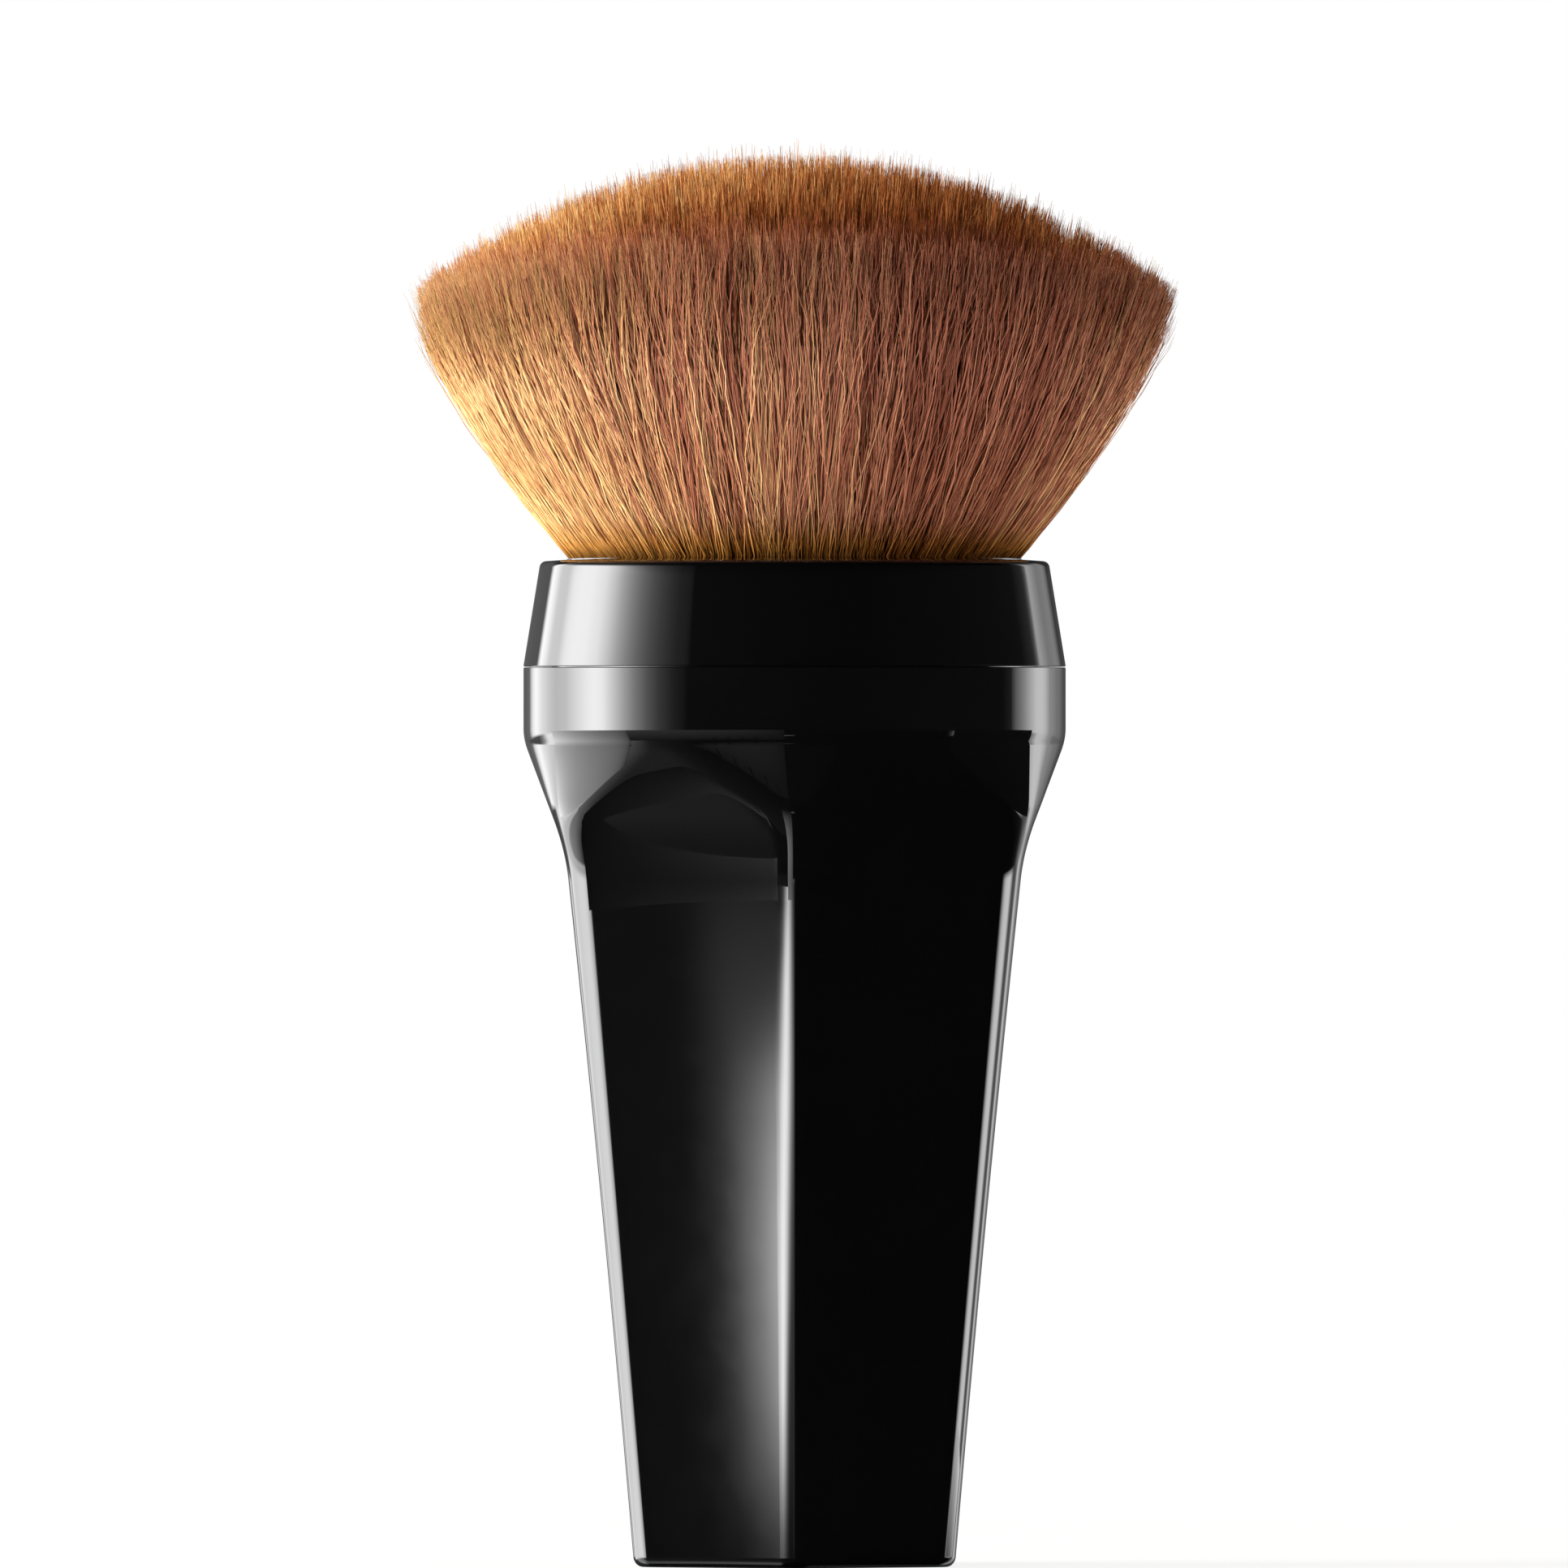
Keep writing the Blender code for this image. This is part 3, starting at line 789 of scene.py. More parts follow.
@dataclass
class Collar:
    """The conical ring between the handle and the bristles, round the oval ferrule."""

    opening_half_width: float = 16.4 * MM
    opening_half_depth: float = 13.3 * MM
    rim_radius: float = 18.0 * MM
    rim_slope: float = math.radians(4.0)
    rim_edge_radius: float = 0.5 * MM
    band_radius: float = 19.2 * MM
    band_top: float = 63.65 * MM
    height: float = 7.45 * MM
    opening_edge: float = 0.12 * MM
    spigot_length: float = 3.3 * MM
    spigot_radius: float = 17.2 * MM
    parting_chamfer: float = 0.06 * MM
    around: int = 288
    finish: GlossPlastic = GlossPlastic("collar_gloss_black")

    def sizes(self) -> dict[str, float]:
        """The first four sizes, which the rule of the shape reads."""
        return {f.name: getattr(self, f.name) for f in fields(self)[:4]}

    def stations(self) -> list[Station]:
        """Rings up the oval opening, out over the rim, down the cone and in to the spigot.

        Returns:
            The rings in order. The inset of a ring on the rim's top face is its lean.
        """
        foot, rim = self.band_top - self.spigot_length, self.band_top + self.height
        rings = [Station(foot), Station(rim - self.opening_edge)]
        rings += [Station(rim, 1.0, 1.0, out * self.opening_edge) for out in (0.4, 1.0)]
        middle = (0.0, rim + self.rim_radius * math.tan(self.rim_slope))
        base = (self.band_radius, self.band_top + self.parting_chamfer)
        arc = rounded(middle, (self.rim_radius, rim), base, self.rim_edge_radius, 10)
        for share in steps(0.0, 1.0, 8)[1:-1]:
            rings.append(Station(rim, 1.0, 1.0 - share, share * arc[0][0]))
        (radius, height), cone = arc[-1], steps(0.0, 1.0, 10)[1:]
        sides = [
            *arc,
            *((mix(radius, base[0], share), mix(height, base[1], share)) for share in cone),
            (self.band_radius - self.parting_chamfer, self.band_top),
            (self.spigot_radius, self.band_top),
            (self.spigot_radius, foot),
        ]
        rings += [Station(height, 0.0, 0.0, radius) for radius, height in sides]
        return [*rings, rings[0]]

    def build(self) -> None:
        """Builds and seats the collar, rolled up by its tree in the same way."""
        recipe = Recipe("collar_roll", self.sizes())
        half_width, half_depth, rim_radius, rim_slope = recipe.size.values()
        turn, lean, height = recipe.split(recipe.add("GeometryNodeInputPosition"))
        cosine, sine = recipe.maths("COSINE", turn), recipe.maths("SINE", turn)
        spread = recipe.maths("SQRT", (half_depth * cosine) ** 2.0 + (half_width * sine) ** 2.0)
        oval = half_width * half_depth / spread
        reach = oval * recipe.attribute("hold") + recipe.attribute("bore")
        risen = height + lean * (rim_radius - reach) * recipe.maths("TANGENT", rim_slope)
        recipe.roll(recipe.join(reach * cosine, reach * sine, risen), self.finish.make())
        sheet = unrolled("collar_sheet", self.stations(), steps(0.0, 2 * math.pi, self.around))
        recipe.run("collar_body", sheet, self.sizes(), Slot.COLLAR, "collar_ring")


# Bristles


@dataclass(frozen=True)
class Layer:
    """One kind of strand in the head.

    Attributes:
        name: The pieces' name.
        pieces: How many pieces share the way round.
        strands: Strands in a piece.
        runs: Straight runs in a strand.
        inner, outer: Shares of the way from the axis to the head's edge.
        start: Share of a strand's length that is left out at its root.
        width: A strand's width.
        wander: How far strands wave about their way.
        lean: How far a strand's tip may lie to one side of its way.
        uneven: How much shorter than the crown surface strands may be.
        tone: The strands' middle tone, from 0 for deep brown to 1 for gold.
        contrast: How much their tones differ.
    """

    name: str
    pieces: int
    strands: int
    runs: int
    inner: float
    outer: float
    start: float
    width: float
    wander: float
    lean: float
    uneven: float
    tone: float
    contrast: float

    def sizes(self) -> dict[str, float]:
        """The sizes that the planting tree reads."""
        return {f.name: getattr(self, f.name) for f in fields(self)[2:]}


OUTER = Layer(
    "bristles_outer", 6, 1500, 14, 0.945, 1.0, 0.0, 0.12 * MM, 1.4 * MM, 2.3 * MM, 2.4 * MM, 0.43, 1.0
)
# The loose strands' pale rose tone is partly painted sheen.
LOOSE = Layer(
    "bristles_loose", 2, 1350, 14, 0.985, 1.01, 0.0, 0.09 * MM, 1.7 * MM, 6.0 * MM, 4.0 * MM, 0.68, 0.4
)
# The under strands' low tone is painted shade in the gaps between the outer strands.
UNDER = Layer(
    "bristles_under", 3, 1900, 6, 0.86, 0.95, 0.0, 0.13 * MM, 1.0 * MM, 1.5 * MM, 2.6 * MM, 0.26, 0.4
)
CROWN = Layer(
    "bristles_crown", 4, 7800, 3, 0.0, 0.985, 0.72, 0.11 * MM, 1.3 * MM, 3.0 * MM, 3.4 * MM, 0.28, 1.0
)


@dataclass
class Bristles:
    """The flared oval head: full strands round the outside, tips over the crown, a core painted dark as
    shade.
    """

    bundle_half_width: float = 15.3 * MM
    bundle_half_depth: float = 12.2 * MM
    foot: float = 70.7 * MM
    head_half_width: float = 26.6 * MM
    head_half_depth: float = 22.0 * MM
    crown_height: float = 100.0 * MM
    bend_share: float = 0.73
    rise_share: float = 0.49
    corner_drop: float = 9.3 * MM
    seed: int = 11
    proud: float = 1.0 * MM
    proud_from: float = 0.84
    sway_aside: float = 1.7
    sway_outward: float = 0.8
    own_outward: float = 0.55
    own_upward: float = 0.4
    lean_start: float = 0.25
    taper: float = 0.85
    taper_power: float = 4.0
    core_share: float = 0.88
    core_cut: float = 5.0 * MM
    locks: tuple[tuple[float, float], ...] = ((0.15, 0.25), (0.042, 0.6))  # sizes and pulls
    # Painted light and shade across the head: from one share of the half width to another, the
    # tone changes by so much, smoothly. Strands are more golden at the lit left, darker in the shade
    # right of the middle, and lighter again at the right edge under the rim lamp.
    painted_light_across: tuple[Triple, ...] = (
        (-0.25, -1.0, 0.22), (0.1, -0.25, 0.08), (-0.05, 0.5, -0.19), (0.65, 1.0, 0.16),
    )
    # Painted backlight: strands further back are more golden.
    painted_backlight: float = 0.12
    lock_tone: float = 0.7
    tone_top: float = 0.97
    side_gap: float = 0.004
    layers: tuple[Layer, ...] = (OUTER, LOOSE, UNDER, CROWN)
    finish: BristleFinish = BristleFinish("bristle_filament")
    shade: TuftShade = TuftShade("tuft_core_shade")

    def sizes(self) -> dict[str, float]:
        """The first eight sizes, which every recipe reads, and the radius of the crown's sphere."""
        radius = (self.head_half_width**2 + self.corner_drop**2) / (2 * self.corner_drop)
        return {f.name: getattr(self, f.name) for f in fields(self)[:8]} | {"crown_radius": radius}

    def run_of(self, recipe: Recipe, across: Term, along: Term, climb: Term) -> Term:
        """The point of a strand at a share of its length.

        Args:
            recipe: The recipe.
            across: The strand's share of the way out along X.
            along: The same along Y.
            climb: The share of the way from the ferrule to the crown.

        Returns:
            The point.
        """
        size, join = recipe.size, recipe.join
        root = join(across * size["bundle_half_width"], along * size["bundle_half_depth"], size["foot"])
        tip_x, tip_y = across * size["head_half_width"], along * size["head_half_depth"]
        radius = size["crown_radius"]
        sphere = recipe.maths("SQRT", radius * radius - tip_x * tip_x - tip_y * tip_y)
        tip = join(tip_x, tip_y, size["crown_height"] - radius + sphere)
        bend = mix(root, tip, join(size["bend_share"], size["bend_share"], size["rise_share"]))
        rest = 1.0 - climb
        return root * (rest * rest) + bend * (2.0 * climb * rest) + tip * (climb * climb)

    def recipe(self) -> Recipe:
        """The node tree that plants strands on one stretch of the way round.

        Returns:
            The recipe.
        """
        counts = ("seed", "strands", "runs")
        names = [*self.sizes(), "first_turn", "sweep", *list(self.layers[0].sizes())[2:]]
        recipe = Recipe("bristle_planting", names, counts)
        size, chance = recipe.size, recipe.chance
        spread = mix(size["inner"] ** 2.0, size["outer"] ** 2.0, chance(0.0, 1.0, 2))
        draws = {
            "turn": chance(0.0, 1.0, 1) * size["sweep"] + size["first_turn"],
            "outward": recipe.maths("SQRT", spread),
            "tone": chance(-0.5, 0.5, 3),
            "short": chance(0.0, 1.0, 4),
            "girth": chance(0.7, 1.2, 5),
            "spin": chance(0.0, 2 * math.pi, 6),
            "stray": chance(0.0, 1.0, 7),
            "leaning": chance(-0.5, 0.5, 8) + chance(-0.5, 0.5, 9),
        }
        points = recipe.add("GeometryNodePoints", {"Count": size["strands"]})
        for name, draw in draws.items():
            points = recipe.store(points, name, draw)
        unit = {"Vertices": 3, "Side Segments": size["runs"], "Radius": 1.0, "Depth": 1.0}
        strand = recipe.add("GeometryNodeMeshCylinder", unit, {"fill_type": "NGON"}, "Mesh")
        planted = recipe.add("GeometryNodeInstanceOnPoints", {"Points": points, "Instance": strand})
        grown = recipe.add("GeometryNodeRealizeInstances", {"Geometry": planted})
        draw = {name: recipe.attribute(name) for name in draws}
        recipe.close(self._shape(recipe, grown, draw), self.finish.make())
        return recipe

    def _tone(self, recipe: Recipe, across: Term, along: Term, own: Term) -> Term:
        """A strand's tone, with painted light and shade: golden at the lit left and back, shaded right of
        middle.

        Args:
            recipe: The recipe.
            across: The strand's share of the way out along X.
            along: The same along Y.
            own: What chance gave it, from -0.5 to 0.5.

        Returns:
            The tone, from 0 to 1.
        """
        size, share_of = recipe.size, recipe.share_of
        lock = recipe.noise(recipe.join(across * 20.0, along * 20.0, 3.0), 1.0, 2.0)
        # Painted light and shade across the head, from the table of tones across it.
        place = sum(by * share_of(across, low, high, True) for low, high, by in self.painted_light_across)
        # Painted shade and light on the crown's tips: darker along the front edge, more golden behind it.
        crown_light_and_shade = (size["start"] > 0.5) * (0.34 * share_of(along, -0.92, -0.48, True) - 0.23)
        place = place + (self.painted_backlight * (along + 1.0) + crown_light_and_shade)
        tone = size["tone"] + (size["contrast"] * own + self.lock_tone * (lock - 0.5) + place)
        return recipe.add("ShaderNodeClamp", {"Value": tone, "Min": 0.0, "Max": self.tone_top})

    def _shape(self, recipe: Recipe, grown: Term, draw: dict[str, Term]) -> Term:
        """Bends the planted strands along their ways and maps their colours.

        Args:
            recipe: The recipe.
            grown: The unit strands, upright at the origin.
            draw: What chance gave each strand.

        Returns:
            The bent strands.
        """
        size, maths, join = recipe.size, recipe.maths, recipe.join
        side_x, side_y, upright = recipe.split(recipe.add("GeometryNodeInputPosition"))
        along_strand = upright + 0.5
        climb = mix(size["start"], 1.0, along_strand)
        cosine, sine = maths("COSINE", draw["turn"]), maths("SINE", draw["turn"])
        across, along = draw["outward"] * cosine, draw["outward"] * sine

        # A strand's column on the map lies at its tone, and its three sides a hair apart.
        tone = self._tone(recipe, across, along, draw["tone"])
        mapped = recipe.store(grown, "u", tone + self.side_gap * (side_x + side_y + 1.4))
        upwards = mix(0.8 * climb, 0.82 + 0.18 * along_strand, size["start"] > 0.5)
        mapped = recipe.store(mapped, "v", upwards)

        # Strands gather into locks of two sizes towards their tips.
        gather = (0.0, 0.0, 0.0)
        loose = (1.0 - 0.7 * draw["short"]) * climb
        for lock_size, pull in self.locks:
            place = join(across * (1.0 / lock_size), along * (1.0 / lock_size), climb * 0.25)
            cell = recipe.add("ShaderNodeTexVoronoi", {"Vector": place, "Scale": 1.0}).of("Position")
            gather = gather + (cell - place) * loose * (lock_size * pull)
        gather_x, gather_y, _ = recipe.split(gather)

        # Neighbours sway together, and each strand also waves and leans on its own.
        lock = recipe.noise(join(across * 8.0, along * 8.0, climb * 1.6), 1.0, 1.5).of("Color")
        strays = join(draw["stray"] * 900.0, draw["short"] * 700.0, climb * 6.0)
        own = recipe.noise(strays, 1.0, 1.0).of("Color")
        lock_side, lock_out, _ = recipe.split(lock - (0.5, 0.5, 0.5))
        own_side, own_out, own_up = recipe.split(own - (0.5, 0.5, 0.5))
        waves = size["wander"] * maths("SQRT", climb)
        leaning = size["lean"] * draw["leaning"] * (climb - self.lean_start)
        aside = (self.sway_aside * lock_side * climb + own_side) * waves + leaning
        outward = (self.sway_outward * lock_out * climb + self.own_outward * own_out) * waves

        # Strands end a little short of the crown surface, a few of them proud of it.
        below = draw["short"] ** 2.0 * size["uneven"]
        proud = recipe.share_of(draw["stray"], self.proud_from, 1.0) * self.proud
        centre = self.run_of(recipe, across + gather_x, along + gather_y, climb)
        centre_x, centre_y, centre_z = recipe.split(centre)
        height = centre_z + (proud - below) * climb * climb + own_up * waves * self.own_upward

        taper = 1.0 - self.taper * along_strand**self.taper_power
        half = size["width"] * 0.5 * draw["girth"] * taper
        spin_cosine, spin_sine = maths("COSINE", draw["spin"]), maths("SINE", draw["spin"])
        off_x = (side_x * spin_cosine - side_y * spin_sine) * half + outward * cosine - aside * sine
        off_y = (side_x * spin_sine + side_y * spin_cosine) * half + outward * sine + aside * cosine
        bent = recipe.place(mapped, join(centre_x + off_x, centre_y + off_y, height))
        corner_map = join(recipe.attribute("u"), recipe.attribute("v"), 0.0)
        return recipe.store(bent, STRAND_MAP, corner_map, data_type="FLOAT2", domain="CORNER")

    def build_strands(self) -> None:
        """Plants every layer, a few pieces round the axis each."""
        recipe = self.recipe()
        for number, layer in enumerate(self.layers):
            sweep = 2 * math.pi / layer.pieces
            for i in range(layer.pieces):
                place = {"seed": self.seed + 100 * number + 10 * i, "first_turn": i * sweep, "sweep": sweep}
                values = self.sizes() | layer.sizes() | place
                bed = bpy.data.meshes.new("planting_bed")
                recipe.run(f"{layer.name}_{i + 1}", bed, values, Slot.BRISTLE, "bristle_tuft")

    def build_core(self) -> None:
        """Builds the mass of strands under the outer ones, painted dark as shade."""
        sizes = self.sizes() | {"inside": self.core_share, "cut": self.core_cut}
        recipe = Recipe("tuft_core", sizes)
        turn, _, climb = recipe.split(recipe.add("GeometryNodeInputPosition"))
        hold = recipe.attribute("hold") * recipe.size["inside"]
        across, along = hold * recipe.maths("COSINE", turn), hold * recipe.maths("SINE", turn)
        lowered = recipe.join(0.0, 0.0, recipe.size["cut"] * climb * climb)
        recipe.roll(self.run_of(recipe, across, along, climb) - lowered, self.shade.make())
        rings = [Station(0.0, 0.0, hold) for hold in (0.0, 0.5)]
        rings += [Station(climb) for climb in steps(0.0, 1.0, 24)]
        rings += [Station(1.0, 0.0, hold) for hold in reversed(steps(0.0, 0.95, 12))]
        sheet = unrolled("core_sheet", rings, steps(0.0, 2 * math.pi, 96))
        recipe.run("tuft_core", sheet, sizes, Slot.BRISTLE, "bristle_tuft")

    def build(self) -> None:
        """Builds and seats the head."""
        self.build_core()
        self.build_strands()


# Inner pieces


INNER_FINISHES = {
    "ferrule_cup": DrawnMetal("ferrule_satin_metal", (0.10, 0.10, 0.105), (0.24, 0.24, 0.25), 0.3),
    "balance_weight": DrawnMetal("weight_turned_steel", (0.42, 0.42, 0.43), (0.62, 0.62, 0.63), 0.34),
    "resin_plug": Speckled(
        "root_amber_resin", (0.30, 0.15, 0.03), (0.52, 0.30, 0.08), 0.2, 700.0, 0.02 * MM
    ),
    "root_binding": Speckled(
        "root_waxed_thread", (0.60, 0.52, 0.38), (0.84, 0.78, 0.66), 0.65, 2600.0, 0.1 * MM, (0.1, 0.1, 1.0)
    ),
    "inner_spacer": Speckled(
        "spacer_moulded_grey", (0.09, 0.09, 0.095), (0.15, 0.15, 0.155), 0.5, 1500.0, 0.02 * MM
    ),
    "weight_pad": Speckled("pad_dark_foam", (0.12, 0.12, 0.12), (0.27, 0.27, 0.27), 0.9, 2200.0, 0.2 * MM),
}


class InnerPieces:
    """The CAD pieces that stay as they are: the ferrule and what the handle hides."""

    def build(self) -> None:
        """Gives each piece its material."""
        for name, finish in INNER_FINISHES.items():
            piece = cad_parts[name]
            piece.data.materials.clear()
            piece.data.materials.append(finish.make())
            log.info("%s: CAD piece, %s", name, finish.name)


# Studio


def toward(azimuth: float, elevation: float = 0.0) -> Vector:
    """The way to a place round the brush, in degrees from the front and above the horizon."""
    turn, lift = math.radians(azimuth), math.radians(elevation)
    return Vector((-math.sin(turn) * math.cos(lift), -math.cos(turn) * math.cos(lift), math.sin(lift)))


def turn_of(graph: Graph, x: Term, y: Term) -> Term:
    """Degrees from the front, more than 0 at the brush's left side in the picture."""
    return graph.maths("ARCTAN2", -x, -y) * (180 / math.pi)


@dataclass(frozen=True)
class Lamp:
    """A soft area lamp that is aimed at the brush.

    Attributes:
        name: Its name.
        azimuth: Degrees from the front towards the brush's left side in the picture.
        elevation: Degrees above the horizon.
        distance: From the brush.
        size: Width and height of its face.
        level: The light that it gives a white face turned to it, where 1 is white.
        colour: Its colour.
    """

    name: str
    azimuth: float
    elevation: float
    distance: float
    size: tuple[float, float]
    level: float
    colour: Colour

    def build(self, aim: Vector) -> None:
        """Adds the lamp.

        Args:
            aim: The point that it is aimed at.
        """
        light = bpy.data.lights.new(self.name, "AREA")
        light.shape = "RECTANGLE"
        light.size, light.size_y = self.size
        light.color = self.colour
        # A small face at this distance gives E = power / (pi d^2), and white shows E / pi.
        light.energy = self.level * math.pi**2 * self.distance**2
        holder = put(self.name, light)
        way = toward(self.azimuth, self.elevation)
        holder.location = aim + way * self.distance
        holder.rotation_mode = "QUATERNION"
        holder.rotation_quaternion = way.to_track_quat("Z", "Y")
        holder.visible_glossy = False


@dataclass(frozen=True)
class BoxRow:
    """What the gloss mirrors along one band of elevation: soft boxes at the left and the right.

    Attributes:
        foot: The band's least elevation in degrees.
        top: Its greatest elevation.
        levels: Pairs of an azimuth in degrees, more than 0 at the brush's left side in the
            picture, and the level of the light there.
    """

    foot: float
    top: float
    levels: tuple[tuple[float, float], ...]

    def stops(self) -> Stops:
        """The levels as places on a ramp from straight behind, through the front, to behind."""
        return tuple((0.5 + azimuth / 360.0, level) for azimuth, level in self.levels)


LOW_RIGHT = (
    (-167, 0.003), (-145, 0.02), (-138, 0.12), (-132, 0.13), (-124, 0.12), (-117, 0.08), (-111, 0.03),
    (-105, 0.007), (-95, 0.002), (-85, 0.0008), (45, 0.002), (60, 0.006),
)
SHOULDER_LEFT = (
    (64, 0.008), (68.6, 0.014), (73, 0.045), (78, 0.085), (84, 0.13), (90, 0.17), (103, 0.2),
    (110, 0.19), (117, 0.17), (123, 0.1), (129, 0.03), (135, 0.01), (165, 0.004),
)
NOTCH_LEFT = (
    (63, 0.008), (65, 0.12), (70, 0.3), (76, 0.42), (82, 0.45), (87, 0.44), (103, 0.42), (110, 0.4),
    (117, 0.36), (123, 0.32), (129, 0.3), (134, 0.2), (138, 0.02), (165, 0.004),
)
CORNER = (
    (-160, 0.01), (-146, 0.04), (-139, 0.1), (-134, 0.2), (-128, 0.26), (-123, 0.11), (-118, 0.05),
    (-109, 0.06), (-104, 0.24), (-99, 0.54), (-92, 0.62), (-84, 0.6), (-78, 0.38), (-74, 0.16),
    (-70, 0.001), (50, 0.002), (63.0, 0.0035), (64.2, 0.3), (65.5, 0.46), (68.5, 0.6), (72, 0.72),
    (77, 0.82), (83, 0.87), (100, 0.7), (108, 0.57), (121, 0.42), (127, 0.4), (131, 0.38), (134, 0.3),
    (137, 0.1), (142, 0.02), (165, 0.005),
)
BAND = (
    (-172, 0.005), (-162, 0.011), (-149, 0.043), (-140, 0.086), (-132.7, 0.234), (-126, 0.29),
    (-120, 0.236), (-115, 0.16), (-110, 0.094), (-107.5, 0.06), (-105.5, 0.01), (-100, 0.003),
    (46.5, 0.002), (48.5, 0.008), (53, 0.016), (60, 0.05), (66, 0.12), (72.5, 0.26), (78, 0.46),
    (84, 0.73), (90, 1.0), (95, 1.0), (100, 0.87), (106, 0.66), (115, 0.4), (123, 0.3),
    (137, 0.29), (144, 0.3), (149, 0.2), (155, 0.025), (165, 0.012),
)
COLLAR = (
    (-160, 0.003), (-151, 0.047), (-141, 0.06), (-136, 0.1), (-131, 0.16), (-129, 0.05),
    (-126, 0.012), (-116, 0.003), (46.5, 0.002), (48.5, 0.016), (53, 0.021), (57.6, 0.037),
    (62.5, 0.06), (67.6, 0.1), (73, 0.17), (78, 0.27), (84, 0.44), (90, 0.68), (96, 0.86),
    (104, 0.86), (112, 0.74), (118, 0.6), (124, 0.36), (131, 0.3), (136, 0.36), (140.5, 0.36),
    (144.5, 0.024), (160, 0.014), (175, 0.005),
)
BOX_ROWS = (
    BoxRow(-90.0, -17.5, LOW_RIGHT + SHOULDER_LEFT),
    BoxRow(-16.0, -13.5, LOW_RIGHT + NOTCH_LEFT),
    BoxRow(-10.4, -5.2, CORNER),
    BoxRow(-3.5, 1.5, BAND),
    BoxRow(4.0, 90.0, COLLAR),
)
BOX_FADE = ((-60.0, 0.0), (-45.0, 1.0), (16.0, 1.0), (21.0, 0.3), (28.0, 0.05), (45.0, 0.0))


def hide_but_in_gloss(plate: bpy.types.Object, glow: bpy.types.Material) -> None:
    """Dresses a plate of the studio that shows only as a mirror image in the gloss.

    Args:
        plate: The plate.
        glow: Its light.
    """
    plate.data.materials.append(glow)
    plate.visible_camera = False
    plate.visible_diffuse = False
    plate.visible_shadow = False


@dataclass(frozen=True)
class Flag:
    """A small curved screen round the brush that the gloss mirrors in place of the studio.

    Attributes:
        name: Its name.
        radius: Its distance from the axis in millimetres.
        turns: Its two ends in degrees from the front, more than 0 at the left in the picture.
        heights: Its lower and upper edge in millimetres.
        levels: What it shows at its two ends, along its lower and its upper edge.
    """

    name: str
    radius: float
    turns: tuple[float, float]
    heights: tuple[float, float]
    levels: tuple[tuple[float, float], tuple[float, float]]

    def build(self) -> None:
        """Adds the screen."""
        ways, low_high = steps(*self.turns, 12), [height * MM for height in self.heights]
        rim = [toward(turn) * self.radius * MM for turn in ways]
        screen = put(self.name, sheet_of(self.name, [[(x, y, z) for x, y, _ in rim] for z in low_high]))
        paint = Paint(self.name)
        x, y, z = paint.split(paint.add("ShaderNodeTexCoord", output="Object"))
        along = paint.maths("SQRT", paint.share_of(turn_of(paint, x, y), *self.turns))
        lower, upper = (mix(start, end, along) for start, end in self.levels)
        glow = paint.emission(mix(lower, upper, paint.share_of(z, *low_high)))
        hide_but_in_gloss(screen, paint.finish({"Surface": glow}, "Material Output"))


@dataclass
class RidgeCard:
    """A glowing card at the front left, low down, which only the gloss mirrors.

    Far off, its upright edge falls as a straight soft line on the left facet, and the rounded
    front ridge shows the rest of it as a thin bright blade. Each band of the glow has a level,
    a centre and a spread across the card, the last two in metres.
    """

    azimuth: float = 45.0
    distance: float = 0.7
    left_edge: float = 189.5 * MM
    right_edge: float = -700 * MM
    low: float = -230 * MM
    high: float = -78 * MM
    peak: float = 19.5
    haze: float = 0.03
    haze_width: float = 5.5 * MM
    middle_height: float = -111.6 * MM
    side_rise: float = 0.0687
    side_bend: float = -0.0784
    half_height: float = 20 * MM
    bands: tuple[tuple[float, Triple], ...] = (
        (0.0, (0.0, 0.10, 0.150)), (0.13, (0.13, 0.09, 0.150)), (0.22, (0.55, 0.07, 0.145)),
        (0.30, (0.92, 0.05, 0.140)), (0.40, (1.0, 0.02, 0.180)), (0.50, (1.0, -0.02, 0.205)),
        (0.65, (1.0, -0.15, 0.215)), (0.79, (0.9, -0.28, 0.142)), (0.86, (0.62, -0.35, 0.105)),
        (0.93, (0.2, -0.40, 0.090)), (1.0, (0.0, -0.42, 0.080)),
    )
    edge: Stops = (
        (0.09, 1.0), (0.17, 0.6), (0.27, 0.37), (0.36, 0.23), (0.45, 0.15), (0.52, 0.06), (0.59, 0.02),
        (0.7, 0.0),
    )
    edge_start: float = 180 * MM
    edge_width: float = 10 * MM

    def build(self) -> None:
        """Adds the card."""
        edges = [[(x, 0.0, z) for x in (self.left_edge, self.right_edge)] for z in (self.low, self.high)]
        card = put("ridge_card", sheet_of("ridge_card", edges))
        card.location = toward(self.azimuth) * self.distance
        card.rotation_euler.z = math.pi - math.radians(self.azimuth)
        hide_but_in_gloss(card, self.glow())

    def glow(self) -> bpy.types.Material:
        """The card's light.

        Returns:
            The material.
        """
        paint = Paint("card_glow")
        x, _, z = paint.split(paint.add("ShaderNodeTexCoord", output="Object"))
        # The ridge's mirrored line bends down across the card, so heights are taken from a curve.
        middle = self.middle_height + self.side_rise * x + self.side_bend * x * x
        up = paint.share_of(z, middle - self.half_height, middle + self.half_height)
        # A ramp holds values from 0 to 1, so the centre is stored with half a metre added.
        stops = tuple((place, (level, centre + 0.5, spread)) for place, (level, centre, spread) in self.bands)
        level, centre, spread = paint.split(paint.ramp(up, stops))
        off = (x - (centre - 0.5)) / spread
        bell = paint.maths("EXPONENT", off * off * -0.5)
        across = paint.share_of(x, self.edge_start, self.edge_start + self.edge_width)
        edge = paint.split(paint.ramp(across, self.edge))[0]
        haze = paint.share_of(x, self.left_edge, self.left_edge - self.haze_width, True) * self.haze
        lit = paint.emission((edge * bell + haze) * level * self.peak)
        both = paint.add("ShaderNodeAddShader", {0: paint.add("ShaderNodeBsdfTransparent"), 1: lit})
        return paint.finish({"Surface": both}, "Material Output")


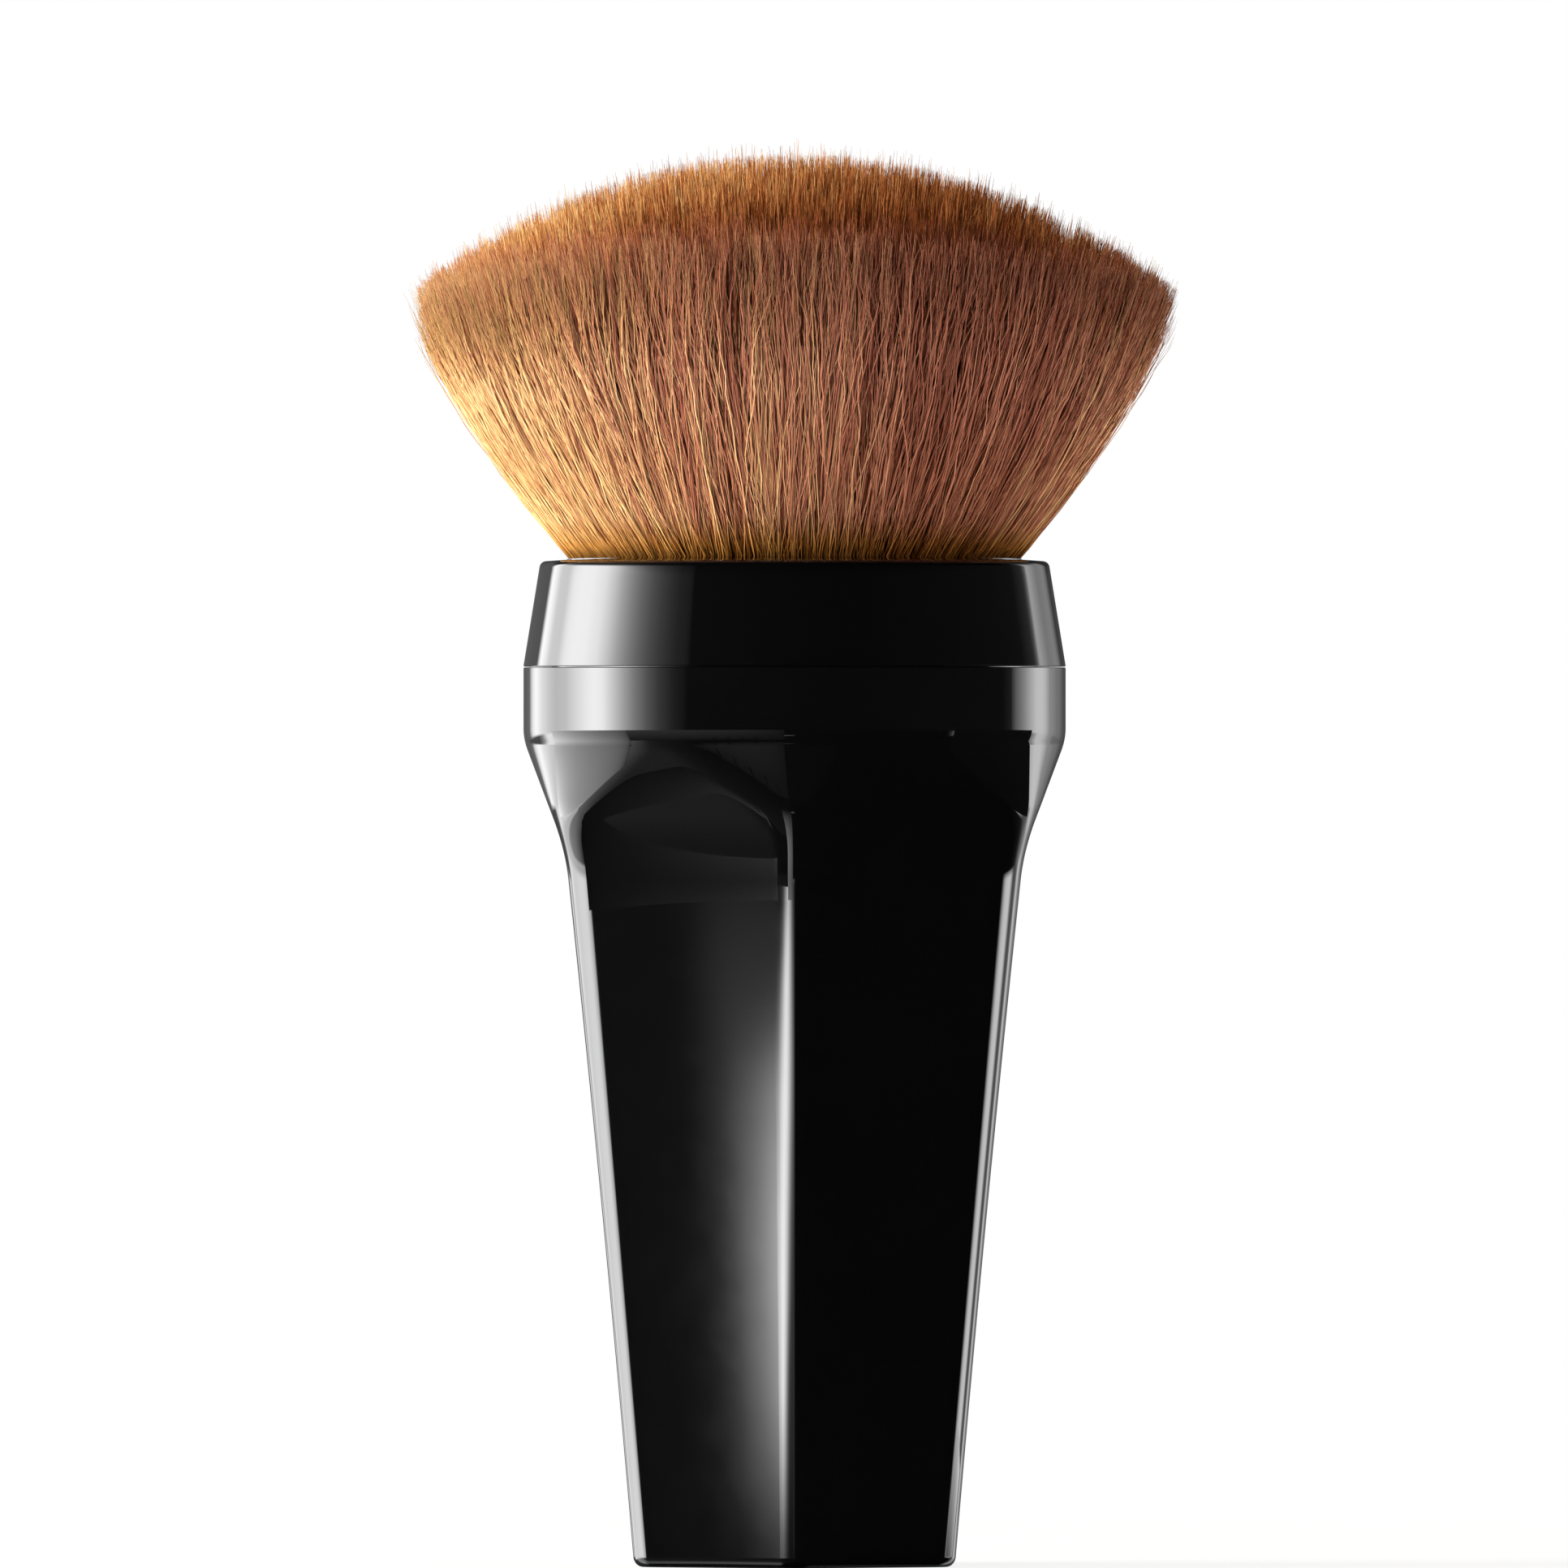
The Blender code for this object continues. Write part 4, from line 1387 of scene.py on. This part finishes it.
@dataclass
class Studio:
    """The floor, the lamps, what the gloss mirrors, and the camera."""

    picture: int = 1932
    pixels_to_mm: float = 17.4
    axis_x: float = 979.0
    base_y: float = 1929.0
    distance: float = 3.0
    sensor: float = 36.0
    floor_radius: float = 2.4
    floor_shade: float = 0.86
    shadow_trace: float = 0.86
    shadow_fade: tuple[float, float] = (50 * MM, 220 * MM)
    ambient: float = 0.12
    mirror_peak: float = 16.0
    lamps: tuple[Lamp, ...] = (
        Lamp("left_softbox", 84.0, 18.0, 0.7, (0.45, 0.45), 2.7, (1.0, 0.95, 0.76)),
        Lamp("front_left_fill", 32.0, 14.0, 0.9, (0.4, 0.4), 0.62, (1.0, 0.95, 0.95)),
        Lamp("right_rim", -98.0, 8.0, 0.8, (0.3, 0.6), 1.1, (1.0, 0.93, 0.88)),
        Lamp("top_softbox", 110.0, 66.0, 0.7, (0.4, 0.4), 0.4, (1.0, 0.93, 0.76)),
    )
    flags: tuple[Flag, ...] = (
        Flag("flag_band_foot", 30, (3, 53), (54, 58.4), ((0.1, 0.1), (0.1, 0.6))),
        Flag("flag_band_side", 30, (53, 92), (50.5, 58.4), ((0.1, 9.0), (0.6, 4.0))),
        Flag("flag_ridge_top", 30, (3, 30), (45.2, 55), ((0.1, 0.1), (0.02, 0.02))),
        Flag("flag_ridge_glow", 29, (2, 8), (44.5, 51), ((0.8, 3.5), (0.05, 0.1))),
        Flag("flag_facet_top", 30, (24, 62), (44.1, 47), ((0.9, 0.0), (0.1, 0.05))),
        Flag("flag_right_band", 30, (-88, -50), (50.5, 58.6), ((0.03, 0.03), (0.03, 0.03))),
        Flag("flag_right_base", 100, (-112, -74), (-15, -4), ((0.3, 0.3), (8.0, 8.0))),
    )

    def camera(self) -> None:
        """Adds the level camera in front of the brush, in the photograph's framing."""
        scale = self.pixels_to_mm / MM
        middle = self.picture / 2
        data = bpy.data.cameras.new("camera")
        data.sensor_width = self.sensor
        data.lens = self.sensor * self.distance * scale / self.picture
        data.clip_end = 20.0
        camera = put("camera", data)
        camera.location = ((middle - self.axis_x) / scale, -self.distance, (self.base_y - middle) / scale)
        camera.rotation_euler = (math.pi / 2, 0.0, 0.0)
        bpy.context.scene.camera = camera

    def floor(self) -> None:
        """Adds the pale floor. It lets mirrored rays by, so the gloss shows the studio round it."""
        mesh = bpy.data.meshes.new("floor")
        rim = [toward(-turn) * self.floor_radius for turn in steps(0.0, 360.0, 96)[:-1]]
        mesh.from_pydata(rim, [], [tuple(range(len(rim)))])
        floor = put("floor", mesh)
        paint = Paint("floor_pale")
        paint.finish({"Base Color": (self.floor_shade,) * 3, "Roughness": 0.9})
        # The camera sees the floor nearly white, with a trace of the brush's shadow close by.
        lit = Term(paint, paint.tree.nodes["Principled BSDF"], "BSDF")
        away = paint.maths("LENGTH", paint.add("ShaderNodeTexCoord", output="Object")).of("Value")
        plain = mix(self.shadow_trace, 1.0, paint.share_of(away, *self.shadow_fade, True))
        rays = paint.add("ShaderNodeLightPath")
        shares = {0: rays.of("Is Camera Ray") * plain, 1: lit, 2: paint.emission(1.0)}
        shown = paint.add("ShaderNodeMixShader", shares)
        mirrored = paint.maths("MAXIMUM", rays.of("Is Glossy Ray"), rays.of("Is Transmission Ray"))
        clear = paint.add("ShaderNodeBsdfTransparent")
        surface = paint.add("ShaderNodeMixShader", {0: mirrored, 1: shown, 2: clear})
        mesh.materials.append(paint.finish({"Surface": surface}, "Material Output"))

    def world(self) -> None:
        """Makes the white background and the soft boxes that the black gloss mirrors."""
        world = bpy.data.worlds.new("studio")
        bpy.context.scene.world = world
        world.use_nodes = True
        graph = Graph(world.node_tree)
        x, y, z = graph.split(graph.add("ShaderNodeTexCoord", output="Generated"))
        around = turn_of(graph, x, y) / 360.0 + 0.5
        degrees_up = graph.maths("ARCSINE", z) * (180 / math.pi)
        level, *upper = [graph.ramp(around, row.stops()) for row in BOX_ROWS]
        for below, above, ramp in zip(BOX_ROWS, BOX_ROWS[1:], upper):
            level = mix(level, ramp, graph.share_of(degrees_up, below.top, above.foot))
        fade = tuple((0.5 + degree / 180.0, share) for degree, share in BOX_FADE)
        boxes = level * graph.ramp(degrees_up / 180.0 + 0.5, fade) * self.mirror_peak

        rays = graph.add("ShaderNodeLightPath")
        mirrored = graph.maths("MAXIMUM", rays.of("Is Glossy Ray"), rays.of("Is Transmission Ray"))
        seen = graph.mix(mirrored, (1.0, 1.0, 1.0), boxes)
        plain = graph.maths("MAXIMUM", rays.of("Is Camera Ray"), mirrored)
        background = world.node_tree.nodes["Background"]
        graph.feed(background.inputs["Color"], graph.mix(plain, (self.ambient,) * 3, seen))
        background.inputs["Strength"].default_value = 1.0

    def build(self) -> None:
        """Builds the whole studio."""
        bpy.context.scene.view_settings.view_transform = "Standard"
        self.camera()
        self.floor()
        self.world()
        low, high = cad_box
        for lamp in self.lamps:
            lamp.build((low + high) / 2)
        RidgeCard().build()
        for flag in self.flags:
            flag.build()
        log.info("studio: %d lamps, %d flags, floor, world and camera", len(self.lamps), len(self.flags))


def main() -> None:
    """Builds the brush and the studio."""
    logging.basicConfig(level=logging.INFO, format="%(name)s: %(message)s")
    for assembly in (Studio(), InnerPieces(), Handle(), Collar(), Bristles()):
        assembly.build()
        log.info("%s done", type(assembly).__name__)


if __name__ == "__main__":
    main()
